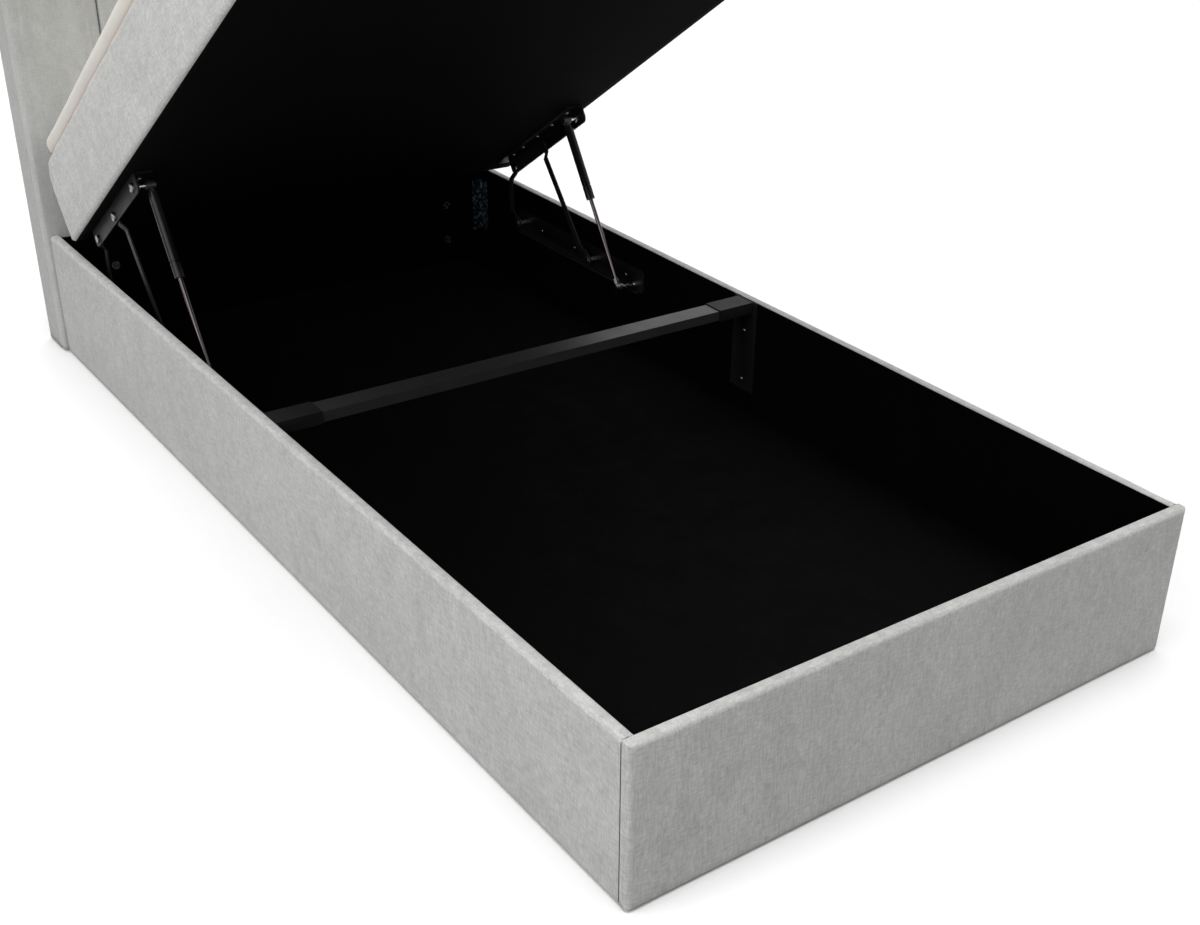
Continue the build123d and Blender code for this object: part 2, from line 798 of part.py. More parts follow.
def base_plate():
    """Pressed steel plate on the side board that carries the fixed pivots."""
    first, last = base_plate_ends()
    half = base_plate_height / 2
    outline = Pos((first + last) / 2, pivot_height) * RectangleRounded(
        last - first, base_plate_height, base_plate_corner_radius
    )
    plate = along_x(outline, plate_face, inner_half_width)
    low = pivot_height - half
    lip = block(
        plate_face - base_plate_lip,
        plate_face,
        first + base_plate_corner_radius,
        last - base_plate_corner_radius,
        low,
        low + base_plate_thickness,
    )
    plate += lip
    for y in base_plate_bolt_places():
        plate -= Pos(inner_half_width, y, pivot_height) * hole_along_x()
    return plate


def base_plate_bolts():
    """Bolts of both base plates."""
    bolt = coach_bolt(base_plate_thickness + lining_thickness, (-1, 0, 0))
    bolts = [Pos(plate_face, y, pivot_height) * bolt for y in base_plate_bolt_places()]
    return bolts + [mirrored(item) for item in bolts]


def base_pivot_pin(pivot):
    """Shouldered pin that stands on the base plate and carries a link's lower eye."""
    y, z = pivot
    collar = hex_along_x(pivot_collar_radius, bracket_plane, plate_face, y, z)
    head_face = link_eye_plane - link_side_clearance
    pin = rod_along_x(pivot_pin_radius, head_face, bracket_plane, y, z)
    head = hex_along_x(pivot_head_radius, head_face - pivot_head_height, head_face, y, z)
    return collar + pin + head


def base_pivot_pins():
    pins = [base_pivot_pin(rear_base_pivot), base_pivot_pin(front_base_pivot)]
    return pins + [mirrored(pin) for pin in pins]


def strut_base_stud():
    """Stud on the base plate that the gas spring's rod end sits on."""
    y, z = strut_base_pivot
    collar = hex_along_x(stud_collar_radius, plate_face - stud_collar_height, plate_face, y, z)
    tip = strut_plane - stud_wall + stud_end_gap
    return collar + rod_along_x(stud_radius, tip, plate_face - stud_collar_height, y, z)


# Lift linkage: moving links, drawn along +Y from the lower pivot

def cranked_band(length):
    """Side view of a link in Y and X, stepped inwards between its two eyes."""
    eye = link_eye_plane
    mid = link_eye_plane - link_crank
    stretch = link_eye_stretch
    ramp = link_eye_stretch + link_crank_stretch
    end = link_eye_radius
    near = [(-end, eye), (stretch, eye), (ramp, mid)]
    near += [(length - ramp, mid), (length - stretch, eye), (length + end, eye)]
    far = [(y, x + link_thickness) for y, x in reversed(near)]
    section = make_face(Polyline(*near, *far, close=True))
    plane = Plane(origin=(0, 0, -2 * link_eye_radius), x_dir=(0, 1, 0), z_dir=(0, 0, -1))
    return extrude(plane * section, amount=-4 * link_eye_radius)


def link_outline(length, bow):
    """Front view of a link in Y and Z: a band between two round eyes, bowed towards -Z."""
    if bow > 0:
        radius = (length / 2) ** 2 / (2 * bow) + bow / 2
        band = Circle(radius + link_width / 2) - Circle(radius - link_width / 2)
        band = Pos(length / 2, radius - bow) * band
        band &= Pos(length / 2, 0) * Rectangle(length, 2 * (bow + link_width))
    else:
        band = Pos(length / 2, 0) * Rectangle(length, link_width)
    return band + Circle(link_eye_radius) + Pos(length, 0) * Circle(link_eye_radius)


def link(length, bow):
    """Flat steel link with an eye at each end."""
    outline = link_outline(length, bow)
    shape = along_x(outline, link_eye_plane - 2 * link_crank, bracket_plane + overrun) & cranked_band(length)
    bore = pivot_pin_radius + pivot_pin_clearance
    x0, x1 = link_eye_plane - overrun, bracket_plane + overrun
    return shape - rod_along_x(bore, x0, x1, 0, 0) - rod_along_x(bore, x0, x1, length, 0)


def rear_link():
    return place(link(rear_link_centres, rear_link_bow), rear_base_pivot, rear_link_open_angle)


def front_link():
    return place(link(front_link_length, 0), front_base_pivot, front_link_open_angle)


def front_link_rivet():
    """Rivet in the front link's upper eye: the linkage is open here, so it ends short of the bracket."""
    head_face = link_eye_plane
    pin = rod_along_x(pivot_pin_radius, head_face, link_eye_plane + link_thickness, front_link_length, 0)
    head = hex_along_x(pivot_head_radius, head_face - pivot_head_height, head_face, front_link_length, 0)
    return place(pin + head, front_base_pivot, front_link_open_angle)


# Lift linkage: lid side, drawn on the closed lid

def lid_bracket_ends():
    """Ends of the lid's bracket along Y on the closed lid."""
    return strut_lid_pivot_closed[0] - lid_bracket_overhang, rear_lid_pivot_closed[0] + lid_bracket_overhang


def lid_bracket_bolt_places():
    """Places of the lid bracket's bolts along Y on the closed lid."""
    first, last = lid_bracket_ends()
    return [first + share * (last - first) for share in lid_bracket_bolt_shares]


def flange_hole(pivot):
    """Square hole in the flange for the neck of a coach bolt at a pivot."""
    side = 2 * pivot_pin_radius
    hole = Pos(*pivot) * Rectangle(side, side)
    return along_x(hole, bracket_plane - overrun, bracket_outside + overrun)


def lid_bracket():
    """Steel angle under the lid's rail whose flange carries the moving pivots."""
    first, last = lid_bracket_ends()
    low = lid_underside - lid_bracket_flange
    flange_outline = Rectangle(last - first, lid_bracket_flange)
    flange_outline = Pos((first + last) / 2, (low + lid_underside) / 2) * flange_outline
    flange_outline = fillet(flange_outline.vertices().group_by(Axis.Y)[0], lid_bracket_end_radius)
    flange = along_x(flange_outline, bracket_plane, bracket_outside)
    leg_bottom = lid_underside - lid_bracket_thickness
    leg = block(bracket_outside - lid_bracket_leg, bracket_outside, first, last, leg_bottom, lid_underside)
    bracket = flange + leg
    bore = pivot_pin_radius + pivot_pin_clearance
    bracket -= rod_along_x(bore, bracket_plane - overrun, bracket_outside + overrun, *rear_lid_pivot_closed)
    bracket -= flange_hole(front_lid_pivot_closed) + flange_hole(strut_lid_pivot_closed)
    x = bracket_outside - lid_bracket_leg / 2
    for y in lid_bracket_bolt_places():
        bracket -= Pos(x, y, lid_underside) * Rot(0, 90, 0) * hole_along_x()
    return open_lid(bracket)


def lid_bracket_bolts():
    """Bolts that hold both lid brackets to the rails."""
    x = bracket_outside - lid_bracket_leg / 2
    bolt = coach_bolt(lid_bracket_thickness, (0, 0, -1))
    leg_bottom = lid_underside - lid_bracket_thickness
    bolts = [open_lid(Pos(x, y, leg_bottom) * bolt) for y in lid_bracket_bolt_places()]
    return bolts + [mirrored(item) for item in bolts]


def lid_pivot_bolt():
    """Bolt through the bracket's flange that carries the rear link's upper eye."""
    y, z = rear_lid_pivot_closed
    head_face = link_eye_plane - link_side_clearance
    outer = hex_along_x(hex_head_radius, bracket_outside, bracket_outside + hex_head_height, y, z)
    shank = rod_along_x(pivot_pin_radius, head_face, bracket_outside, y, z)
    inner = hex_along_x(pivot_head_radius, head_face - pivot_head_height, head_face, y, z)
    return open_lid(outer + shank + inner)


def lid_flange_bolt(pivot):
    """Nut and square neck in the flange at a pivot whose other half rides on a link."""
    y, z = pivot
    outer = hex_along_x(hex_head_radius, bracket_outside, bracket_outside + hex_head_height, y, z)
    side = 2 * pivot_pin_radius - 2 * pivot_pin_clearance
    neck = along_x(Pos(y, z) * Rectangle(side, side), bracket_plane, bracket_outside)
    return open_lid(outer + neck)


def lid_pivot_bolts():
    bolts = [
        lid_pivot_bolt(),
        lid_flange_bolt(front_lid_pivot_closed),
        lid_flange_bolt(strut_lid_pivot_closed),
    ]
    return bolts + [mirrored(bolt) for bolt in bolts]


# Gas springs, drawn along +Y from the lower stud

def end_socket(centre, towards):
    """Fitting round a stud, with a hexagonal neck that points along the spring."""
    eye = rod_along_x(socket_radius, strut_plane - socket_radius, strut_plane + socket_radius, centre, 0)
    y0, y1 = sorted((centre, centre + towards * socket_neck_length))
    neck = Pos(strut_plane, 0) * along_y(RegularPolygon(socket_neck_radius, 6), y0, y1)
    bore = rod_along_x(
        stud_radius + stud_clearance, strut_plane - stud_wall, strut_plane + 2 * socket_radius, centre, 0
    )
    return eye + neck - bore


def rod_along_y(radius, y0, y1):
    """Round bar of the gas spring from y0 to y1."""
    return Pos(strut_plane, (y0 + y1) / 2, 0) * Rot(90, 0, 0) * Cylinder(radius, y1 - y0)


cylinder_low = strut_open_length - cylinder_end_from_pivot
cylinder_high = strut_open_length - cylinder_from_pivot
bore_radius = cylinder_radius - cylinder_wall
piston_low = cylinder_low + guide_length + stud_end_gap


def gas_rod():
    """Rod with its piston, from the lower socket into the cylinder."""
    rod = rod_along_y(rod_radius, socket_neck_length, piston_low)
    piston = rod_along_y(bore_radius - piston_clearance, piston_low, piston_low + piston_length)
    return place(rod + piston, strut_base_pivot, strut_open_angle)


def rod_socket():
    """Lower end fitting that swings on the base plate's stud."""
    return place(end_socket(0, 1), strut_base_pivot, strut_open_angle)


def gas_cylinder():
    """Pressure tube, closed at the top, with the rolled groove that holds the rod guide."""
    tube = rod_along_y(cylinder_radius, cylinder_low, cylinder_high)
    tube -= rod_along_y(bore_radius, cylinder_low - overrun, cylinder_high - cylinder_cap)
    groove_middle = cylinder_low + cylinder_groove_from_end
    y0, y1 = groove_middle - cylinder_groove_width / 2, groove_middle + cylinder_groove_width / 2
    groove = rod_along_y(cylinder_radius + overrun, y0, y1)
    groove -= rod_along_y(cylinder_radius - cylinder_groove_depth, y0, y1)
    return place(tube - groove, strut_base_pivot, strut_open_angle)


def rod_guide():
    """Bush in the cylinder's mouth that the rod slides through."""
    bush = rod_along_y(bore_radius, cylinder_low, cylinder_low + guide_length)
    bore_end = cylinder_low + guide_length + overrun
    bush -= rod_along_y(rod_radius + rod_clearance, cylinder_low - overrun, bore_end)
    return place(bush, strut_base_pivot, strut_open_angle)


def cylinder_socket():
    """Upper end fitting of the cylinder."""
    socket = end_socket(strut_open_length, -1)
    socket -= rod_along_y(cylinder_radius + overrun, cylinder_low, cylinder_high)
    return place(socket, strut_base_pivot, strut_open_angle)


def strut_upper_stud():
    """Stud in the upper socket: the linkage is open here, so its collar ends short of the bracket."""
    outer = bracket_plane - link_side_clearance
    collar = hex_along_x(stud_collar_radius, outer - stud_collar_height, outer, strut_open_length, 0)
    tip = strut_plane - stud_wall + stud_end_gap
    shank = rod_along_x(stud_radius, tip, outer - stud_collar_height, strut_open_length, 0)
    return place(collar + shank, strut_base_pivot, strut_open_angle)


# Writing the nodes

def pair(name, shape):
    """Writes a piece and its mirror image as the right and left nodes."""
    save(f"{name}_right", shape)
    save(f"{name}_left", mirrored(shape))


def both(name, shape):
    """Writes a small piece and its mirror image as one node."""
    save(name, [shape, mirrored(shape)])


os.makedirs("parts", exist_ok=True)

pair("side_board", side_board())
pair("side_cover", side_cover())
save("foot_board", foot_board())
save("foot_cover", foot_cover())
save("head_panel", head_panel())
save("storage_lining", lining_sheets())
save("floor_ledgers", floor_ledgers())
save("floor_cross_battens", floor_cross_battens())
save("floor_board_front", floor_board(True))
save("floor_board_rear", floor_board(False))
save("floor_glides", floor_glides())
save("crossbar", crossbar())
pair("crossbar_bracket", crossbar_bracket())
save("corner_angles", corner_angles())

for number in range(headboard_channels):
    save(f"headboard_channel_{number + 1}", headboard_channel(number))
save("headboard_base_block", headboard_base_block())
save("headboard_board", headboard_board())
save("headboard_frame", headboard_frame())
save("headboard_cover", headboard_cover())
save("headboard_back_cloth", headboard_back_cloth())
save("headboard_bolts", headboard_bolts())

save("lid_cover", open_lid(lid_cover()))
save("lid_underside_cloth", open_lid(lid_underside_cloth()))
save("lid_side_rails", [open_lid(rail) for rail in lid_side_rails()])
save("lid_end_rails", [open_lid(rail) for rail in lid_end_rails()])
save("lid_slats", [open_lid(slat) for slat in lid_slats()])
save("lid_spring_core", open_lid(spring_core()))
save("lid_foam", open_lid(lid_foam()))
save("topper_core", open_lid(topper_core()))
save("topper_cover", open_lid(topper_cover()))

pair("base_plate", base_plate())
save("side_wall_bolts", crossbar_bolts() + base_plate_bolts())
save("base_pivot_pins", base_pivot_pins())
both("strut_base_studs", strut_base_stud())
pair("rear_link", rear_link())
pair("front_link", front_link())
both("front_link_rivets", front_link_rivet())
pair("lid_bracket", lid_bracket())
save("lid_bracket_bolts", lid_bracket_bolts())
save("lid_pivot_bolts", lid_pivot_bolts())
pair("gas_rod", gas_rod())
both("rod_sockets", rod_socket())
pair("gas_cylinder", gas_cylinder())
both("rod_guides", rod_guide())
both("cylinder_sockets", cylinder_socket())
both("strut_upper_studs", strut_upper_stud())

lid_travel = lid_open_angle + rear_link_open_angle - rear_link_closed_angle
print("rear base pivot", rear_base_pivot, "front base pivot", front_base_pivot)
print("rear lid pivot", rear_lid_pivot, "front lid pivot", front_lid_pivot)
print("strut base pivot", strut_base_pivot, "strut lid pivot", strut_lid_pivot)
print("lid against rear link, degrees", lid_travel)
print("rear link, degrees", rear_link_closed_angle - rear_link_open_angle)
print("front link, degrees", front_link_closed_angle - front_link_open_angle)
print("gas spring, degrees", strut_closed_angle - strut_open_angle, "open at", strut_open_angle)
print("gas spring stroke", strut_closed_length - strut_open_length)
print("front link length", front_link_length, "overall length", overall_length)
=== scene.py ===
import math

import bmesh
import bpy
from mathutils import Matrix, Vector, kdtree, noise


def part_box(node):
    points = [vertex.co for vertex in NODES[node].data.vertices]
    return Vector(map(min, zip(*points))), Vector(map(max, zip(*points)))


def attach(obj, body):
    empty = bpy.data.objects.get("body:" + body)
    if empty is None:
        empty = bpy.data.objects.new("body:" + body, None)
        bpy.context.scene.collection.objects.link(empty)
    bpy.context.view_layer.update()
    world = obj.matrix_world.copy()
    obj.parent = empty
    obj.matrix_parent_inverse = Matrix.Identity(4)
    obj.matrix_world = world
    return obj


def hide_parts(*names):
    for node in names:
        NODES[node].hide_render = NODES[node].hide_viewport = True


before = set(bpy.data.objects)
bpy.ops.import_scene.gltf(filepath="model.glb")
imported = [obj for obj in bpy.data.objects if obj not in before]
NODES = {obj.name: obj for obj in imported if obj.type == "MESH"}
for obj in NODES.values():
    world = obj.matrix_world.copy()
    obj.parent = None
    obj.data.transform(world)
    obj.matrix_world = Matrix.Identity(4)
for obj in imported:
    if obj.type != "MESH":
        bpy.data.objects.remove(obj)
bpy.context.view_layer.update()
scene = bpy.context.scene


# Meshes

def new_object(name, data, matrix=None):
    obj = bpy.data.objects.new(name, data)
    scene.collection.objects.link(obj)
    if matrix is not None:
        obj.matrix_world = matrix
    return obj


def from_bmesh(name, bm, matrix=None):
    """A new object from a mesh in the making, smooth shaded."""
    mesh = bpy.data.meshes.new(name)
    bm.to_mesh(mesh)
    bm.free()
    for face in mesh.polygons:
        face.use_smooth = True
    return new_object(name, mesh, matrix)


def add_grid(bm, rows, wrap=False):
    """Quads between rows of points. With wrap, each row closes on itself."""
    made = [[bm.verts.new(p) for p in row] for row in rows]
    count = len(made[0])
    for low, high in zip(made, made[1:]):
        for i in range(count if wrap else count - 1):
            k = (i + 1) % count
            bm.faces.new((low[i], low[k], high[k], high[i]))
    bm.normal_update()
    return made


def reverse_if(wrong, bm, faces=None):
    if wrong:
        bmesh.ops.reverse_faces(bm, faces=faces or bm.faces)


def merge_near(bm, distance):
    bmesh.ops.remove_doubles(bm, verts=bm.verts, dist=distance)
    bmesh.ops.dissolve_degenerate(bm, edges=bm.edges, dist=distance)


def spread(start, end, step):
    """Numbers from start to end at about a step apart."""
    count = max(1, round(abs(end - start) / step))
    return [start + (end - start) * i / count for i in range(count + 1)]


def arc(cx, cy, radius, first, last, count):
    """Points of an arc, its angles in degrees."""
    points = []
    for i in range(count + 1):
        a = math.radians(first + (last - first) * i / count)
        points.append((cx + radius * math.cos(a), cy + radius * math.sin(a)))
    return points


def ring_points(half_x, half_y, corner, step_count_x, step_count_y, corner_count=9):
    """A rounded rectangle with the same number of points whatever its size."""
    points = []
    cx, cy = half_x - corner, half_y - corner
    corners = ((cx, cy, 0), (-cx, cy, 90), (-cx, -cy, 180), (cx, -cy, 270))
    for index, (px, py, first) in enumerate(corners):
        for k in range(corner_count + 1):
            a = math.radians(first + 90 * k / corner_count)
            points.append((px + corner * math.cos(a), py + corner * math.sin(a)))
        nx, ny, _ = corners[(index + 1) % 4]
        a = math.radians(first + 90)
        start = Vector((px + corner * math.cos(a), py + corner * math.sin(a)))
        end = Vector((nx + corner * math.cos(a), ny + corner * math.sin(a)))
        count = step_count_x if index % 2 == 0 else step_count_y
        for k in range(1, count):
            p = start.lerp(end, k / count)
            points.append((p.x, p.y))
    return points


def islands(node):
    """The separate solids of a CAD node, each as a list of points."""
    bm = bmesh.new()
    bm.from_mesh(NODES[node].data)
    bmesh.ops.remove_doubles(bm, verts=bm.verts, dist=0.00001)
    seen, found = set(), []
    for vert in bm.verts:
        if vert in seen:
            continue
        stack, part = [vert], []
        seen.add(vert)
        while stack:
            v = stack.pop()
            part.append(v.co.copy())
            for edge in v.link_edges:
                other = edge.other_vert(v)
                if other not in seen:
                    seen.add(other)
                    stack.append(other)
        found.append(part)
    bm.free()
    return found


def extent(points, matrix=None):
    """Lowest and highest corner of points, in the matrix's own frame."""
    if matrix is not None:
        back = matrix.inverted()
        points = [back @ p for p in points]
    lo = Vector(min(p[i] for p in points) for i in range(3))
    hi = Vector(max(p[i] for p in points) for i in range(3))
    return lo, hi


def solidify(obj, thickness):
    mod = obj.modifiers.new("cloth_thickness", "SOLIDIFY")
    mod.thickness = thickness
    mod.offset = -1.0
    mod.use_even_offset = False


def wave(p, sizes, seed):
    """Smooth noise from -1 to 1, with its size along each axis in metres."""
    return noise.noise(Vector((p[0] / sizes[0] + seed, p[1] / sizes[1] - seed, p[2] / sizes[2] + 2 * seed)))


def displace(obj, amount):
    """Moves each vertex along its normal by amount(point)."""
    bm = bmesh.new()
    bm.from_mesh(obj.data)
    bm.normal_update()
    moves = [(v, v.normal * amount(v.co)) for v in bm.verts]
    for v, move in moves:
        v.co += move
    bm.to_mesh(obj.data)
    bm.free()


# Materials

def linear(r, g, b):
    """A colour written as it shows, 0 to 255, as linear numbers."""
    out = []
    for v in (r, g, b):
        v = v / 255
        out.append(v / 12.92 if v <= 0.04045 else ((v + 0.055) / 1.055) ** 2.4)
    return (*out, 1.0)


class Recipe:
    """Builds one node material."""

    def __init__(self, name):
        self.material = bpy.data.materials.new(name)
        self.material.use_nodes = True
        self.tree = self.material.node_tree
        self.shader = self.tree.nodes["Principled BSDF"]
        self.coords = self.node("ShaderNodeTexCoord").outputs["Object"]

    def node(self, kind, **values):
        made = self.tree.nodes.new(kind)
        for key, value in values.items():
            setattr(made, key, value)
        return made

    def link(self, output, target):
        self.tree.links.new(output, target)

    def feed(self, value, socket):
        """Sets a number or colour on the socket, or links an output to it."""
        if isinstance(value, (int, float, tuple)):
            socket.default_value = value
        else:
            self.link(value, socket)

    def texture(self, kind, stretch, values, **settings):
        """A texture node on stretched coordinates, its numbers set by name."""
        mapping = self.node("ShaderNodeMapping")
        self.link(self.coords, mapping.inputs["Vector"])
        mapping.inputs["Scale"].default_value = stretch
        made = self.node(kind, **settings)
        self.link(mapping.outputs["Vector"], made.inputs["Vector"])
        for key, value in values.items():
            made.inputs[key].default_value = value
        return made

    def noise(self, scale, detail, rough, stretch=(1, 1, 1), distortion=0.0):
        values = {"Scale": scale, "Detail": detail, "Roughness": rough, "Distortion": distortion}
        return self.texture("ShaderNodeTexNoise", stretch, values).outputs["Fac"]

    def cells(self, scale, randomness=1.0, stretch=(1, 1, 1), feature="F1"):
        values = {"Scale": scale, "Randomness": randomness}
        return self.texture("ShaderNodeTexVoronoi", stretch, values, feature=feature)

    def channels(self, cells):
        """The three random numbers of each cell."""
        parts = self.node("ShaderNodeSeparateColor")
        self.link(cells.outputs["Color"], parts.inputs["Color"])
        return parts.outputs

    def threads(self, pitch):
        """Threads along all three axes, as one height from 0 to 1."""
        values = {"Scale": 0.314 / pitch, "Distortion": 0.6, "Detail": 1.0, "Detail Scale": 3.0}
        total = None
        for direction in "XYZ":
            made = self.texture("ShaderNodeTexWave", (1, 1, 1), values, bands_direction=direction)
            total = made.outputs["Fac"] if total is None else self.math("ADD", total, made.outputs["Fac"])
        return self.math("MULTIPLY", total, 0.333)

    def math(self, operation, a, b):
        made = self.node("ShaderNodeMath", operation=operation)
        for socket, value in zip(made.inputs, (a, b)):
            self.feed(value, socket)
        return made.outputs["Value"]

    def ramp(self, factor, stops):
        made = self.node("ShaderNodeValToRGB")
        self.link(factor, made.inputs["Fac"])
        elements = made.color_ramp.elements
        while len(elements) < len(stops):
            elements.new(0.5)
        for element, (place, colour) in zip(elements, stops):
            element.position = place
            element.color = colour
        return made.outputs["Color"]

    def grey_ramp(self, factor, start, end, low, high):
        """Grey from low to high as the factor goes from start to end."""
        return self.ramp(factor, [(start, (low, low, low, 1.0)), (end, (high, high, high, 1.0))])

    def span(self, factor, low, high, out_low, out_high):
        made = self.node("ShaderNodeMapRange")
        self.link(factor, made.inputs["Value"])
        for key, value in (("From Min", low), ("From Max", high), ("To Min", out_low), ("To Max", out_high)):
            made.inputs[key].default_value = value
        return made.outputs["Result"]

    def mix(self, kind, factor, a, b):
        made = self.node("ShaderNodeMix", data_type="RGBA", blend_type=kind)
        for index, value in ((0, factor), (6, a), (7, b)):
            self.feed(value, made.inputs[index])
        return made.outputs[2]

    def shaded(self, base, *stops):
        return self.mix("MULTIPLY", 1.0, base, self.grey_ramp(*stops))

    def gloss(self, level):
        self.shader.inputs["Specular IOR Level"].default_value = level

    def colour(self, value):
        self.link(value, self.shader.inputs["Base Color"])

    def roughness(self, value):
        self.feed(value, self.shader.inputs["Roughness"])

    def bump(self, height, strength, distance, under=None):
        made = self.node("ShaderNodeBump")
        self.link(height, made.inputs["Height"])
        made.inputs["Strength"].default_value = strength
        made.inputs["Distance"].default_value = distance
        if under is not None:
            self.link(under, made.inputs["Normal"])
        return made.outputs["Normal"]

    def normal(self, value):
        self.link(value, self.shader.inputs["Normal"])

    def sheen(self, weight, rough, tint=(1, 1, 1, 1)):
        self.shader.inputs["Sheen Weight"].default_value = weight
        self.shader.inputs["Sheen Roughness"].default_value = rough
        self.shader.inputs["Sheen Tint"].default_value = tint


def along_share(stretch, share):
    """A stretch brought part of the way from none to full."""
    return tuple(1.0 + (value - 1.0) * share for value in stretch)


def shade(colour, factor):
    return (colour[0] * factor, colour[1] * factor, colour[2] * factor, 1.0)


def velour(name, colour, grain, weave=1.0):
    """Short-piled upholstery cloth: soft clouds, fine streaks along the grain and finer ones across it.
    A lower weave shows the streaks less."""
    along = tuple(0.13 if axis == grain else 1.0 for axis in "xyz")
    crosswise = tuple(1.0 if axis == grain else 0.16 for axis in "xyz")
    r = Recipe(name)
    patches = r.noise(4.5, 3.0, 0.6, (1, 1, 1), 0.3)
    clouds = r.noise(24.0, 4.0, 0.62, along_share(along, 0.5), 0.5)
    streaks = r.noise(430.0, 3.0, 0.62, along)
    cross = r.noise(470.0, 2.0, 0.6, crosswise)
    threads = r.threads(0.0013)
    base = r.ramp(patches, [(0.3, shade(colour, 0.955)), (0.7, shade(colour, 1.045))])
    base = r.shaded(base, clouds, 0.32, 0.68, 0.94, 1.06)
    base = r.shaded(base, streaks, 0.32, 0.68, 1 - 0.13 * weave, 1 + 0.13 * weave)
    base = r.shaded(base, cross, 0.32, 0.68, 1 - 0.12 * weave, 1 + 0.12 * weave)
    base = r.shaded(base, threads, 0.2, 0.8, 0.95, 1.05)
    r.colour(base)
    r.roughness(r.span(clouds, 0.3, 0.7, 0.84, 0.98))
    r.gloss(0.2)
    r.sheen(0.12, 0.5)
    low = r.bump(clouds, 0.2, 0.0015)
    low = r.bump(streaks, 0.3, 0.0004, low)
    low = r.bump(cross, 0.25, 0.0003, low)
    r.normal(r.bump(threads, 0.3, 0.0003, low))
    return r.material


def black_cloth():
    """Black non-woven cloth with its point-bonded dimples."""
    r = Recipe("black_cloth_material")
    dimples = r.cells(480.0, 0.25)
    fibres = r.noise(620.0, 4.0, 0.7)
    drift = r.noise(9.0, 3.0, 0.6)
    base = r.ramp(fibres, [(0.3, linear(2, 2, 2)), (0.75, linear(6, 6, 6))])
    base = r.shaded(base, drift, 0.3, 0.7, 0.75, 1.2)
    r.colour(base)
    r.roughness(r.span(fibres, 0.3, 0.7, 0.85, 1.0))
    r.gloss(0.03)
    low = r.bump(drift, 0.3, 0.002)
    r.normal(r.bump(dimples.outputs["Distance"], 0.4, 0.0004, low))
    return r.material


def knitted(heights):
    """Off-white knitted topper cover, its edges, at these heights in the lid's frame, a little pink."""
    r = Recipe("topper_knit_material")
    tone = linear(216, 213, 206)
    patches = r.noise(11.0, 3.0, 0.6)
    loops = r.cells(330.0, 0.5, (1.0, 1.0, 1.6), "SMOOTH_F1")
    base = r.ramp(patches, [(0.3, shade(tone, 0.96)), (0.7, shade(tone, 1.03))])
    gaps = r.ramp(loops.outputs["Distance"], [(0.0, (1.03, 1.03, 1.03, 1)), (0.8, (0.9, 0.88, 0.86, 1))])
    base = r.mix("MULTIPLY", 1.0, base, gaps)
    place = r.node("ShaderNodeSeparateXYZ")
    r.link(r.coords, place.inputs["Vector"])
    low, high = heights
    blush = r.span(place.outputs["Z"], low, low + 0.009, 1.0, 0.0)
    upper = r.span(place.outputs["Z"], high - 0.015, high - 0.009, 0.0, 1.0)
    upper = r.math("MULTIPLY", upper, r.span(place.outputs["Z"], high - 0.008, high - 0.004, 1.0, 0.0))
    blush = r.math("MAXIMUM", blush, upper)
    r.colour(r.mix("MIX", r.math("MULTIPLY", blush, 0.5), base, linear(222, 200, 190)))
    r.roughness(r.span(patches, 0.3, 0.7, 0.85, 0.95))
    r.sheen(0.15, 0.5)
    r.normal(r.bump(loops.outputs["Distance"], 0.4, 0.0005))
    return r.material


def powder_coat(name, low, high, rough_low, rough_high, gloss):
    """Black powder-coated steel with fine orange peel, and lighter edges: partly rubbed wear, partly a painted
    highlight.
    """
    r = Recipe(name)
    peel = r.noise(900.0, 2.0, 0.5)
    smears = r.noise(24.0, 4.0, 0.6)
    edge = r.node("ShaderNodeNewGeometry").outputs["Pointiness"]
    # Lighter edges: partly rubbed paint, partly a painted highlight where light catches them.
    rubbed_and_highlit_edge = r.span(edge, 0.52, 0.62, 0.0, 0.7)
    base = r.ramp(smears, [(0.3, linear(low, low, low + 1)), (0.7, linear(high, high, high + 1))])
    base = r.mix("MIX", rubbed_and_highlit_edge, base, linear(high + 34, high + 34, high + 35))
    r.colour(base)
    r.gloss(gloss)
    r.roughness(r.span(smears, 0.3, 0.7, rough_low, rough_high))
    r.normal(r.bump(peel, 0.2, 0.0002))
    return r.material


def bright_zinc(name, tone, low, high):
    """Bright plated steel with faint handling marks."""
    r = Recipe(name)
    marks = r.noise(180.0, 5.0, 0.65)
    turned = r.noise(1400.0, 1.0, 0.5, (0.05, 1, 1))
    base = r.ramp(marks, [(0.25, shade(tone, 0.85)), (0.75, shade(tone, 1.06))])
    r.colour(base)
    r.shader.inputs["Metallic"].default_value = 1.0
    r.roughness(r.span(marks, 0.3, 0.7, low, high))
    r.normal(r.bump(turned, 0.12, 0.0001))
    return r.material


def galvanised():
    """Zinc-coated sheet steel with its spangle, its tones kept dark as painted shade, for a part that stands in
    the shade of the box.
    """
    r = Recipe("galvanised_material")
    spangle = r.channels(r.cells(210.0))
    # The dark tones are painted shade; the brightest tone is the zinc's own.
    tones = [(0.0, linear(16, 22, 28)), (0.6, linear(40, 52, 62)), (1.0, linear(150, 172, 186))]
    r.colour(r.ramp(spangle["Red"], tones))
    r.shader.inputs["Metallic"].default_value = 0.9
    r.roughness(r.span(spangle["Green"], 0.0, 1.0, 0.32, 0.55))
    r.normal(r.bump(spangle["Blue"], 0.08, 0.0001))
    return r.material


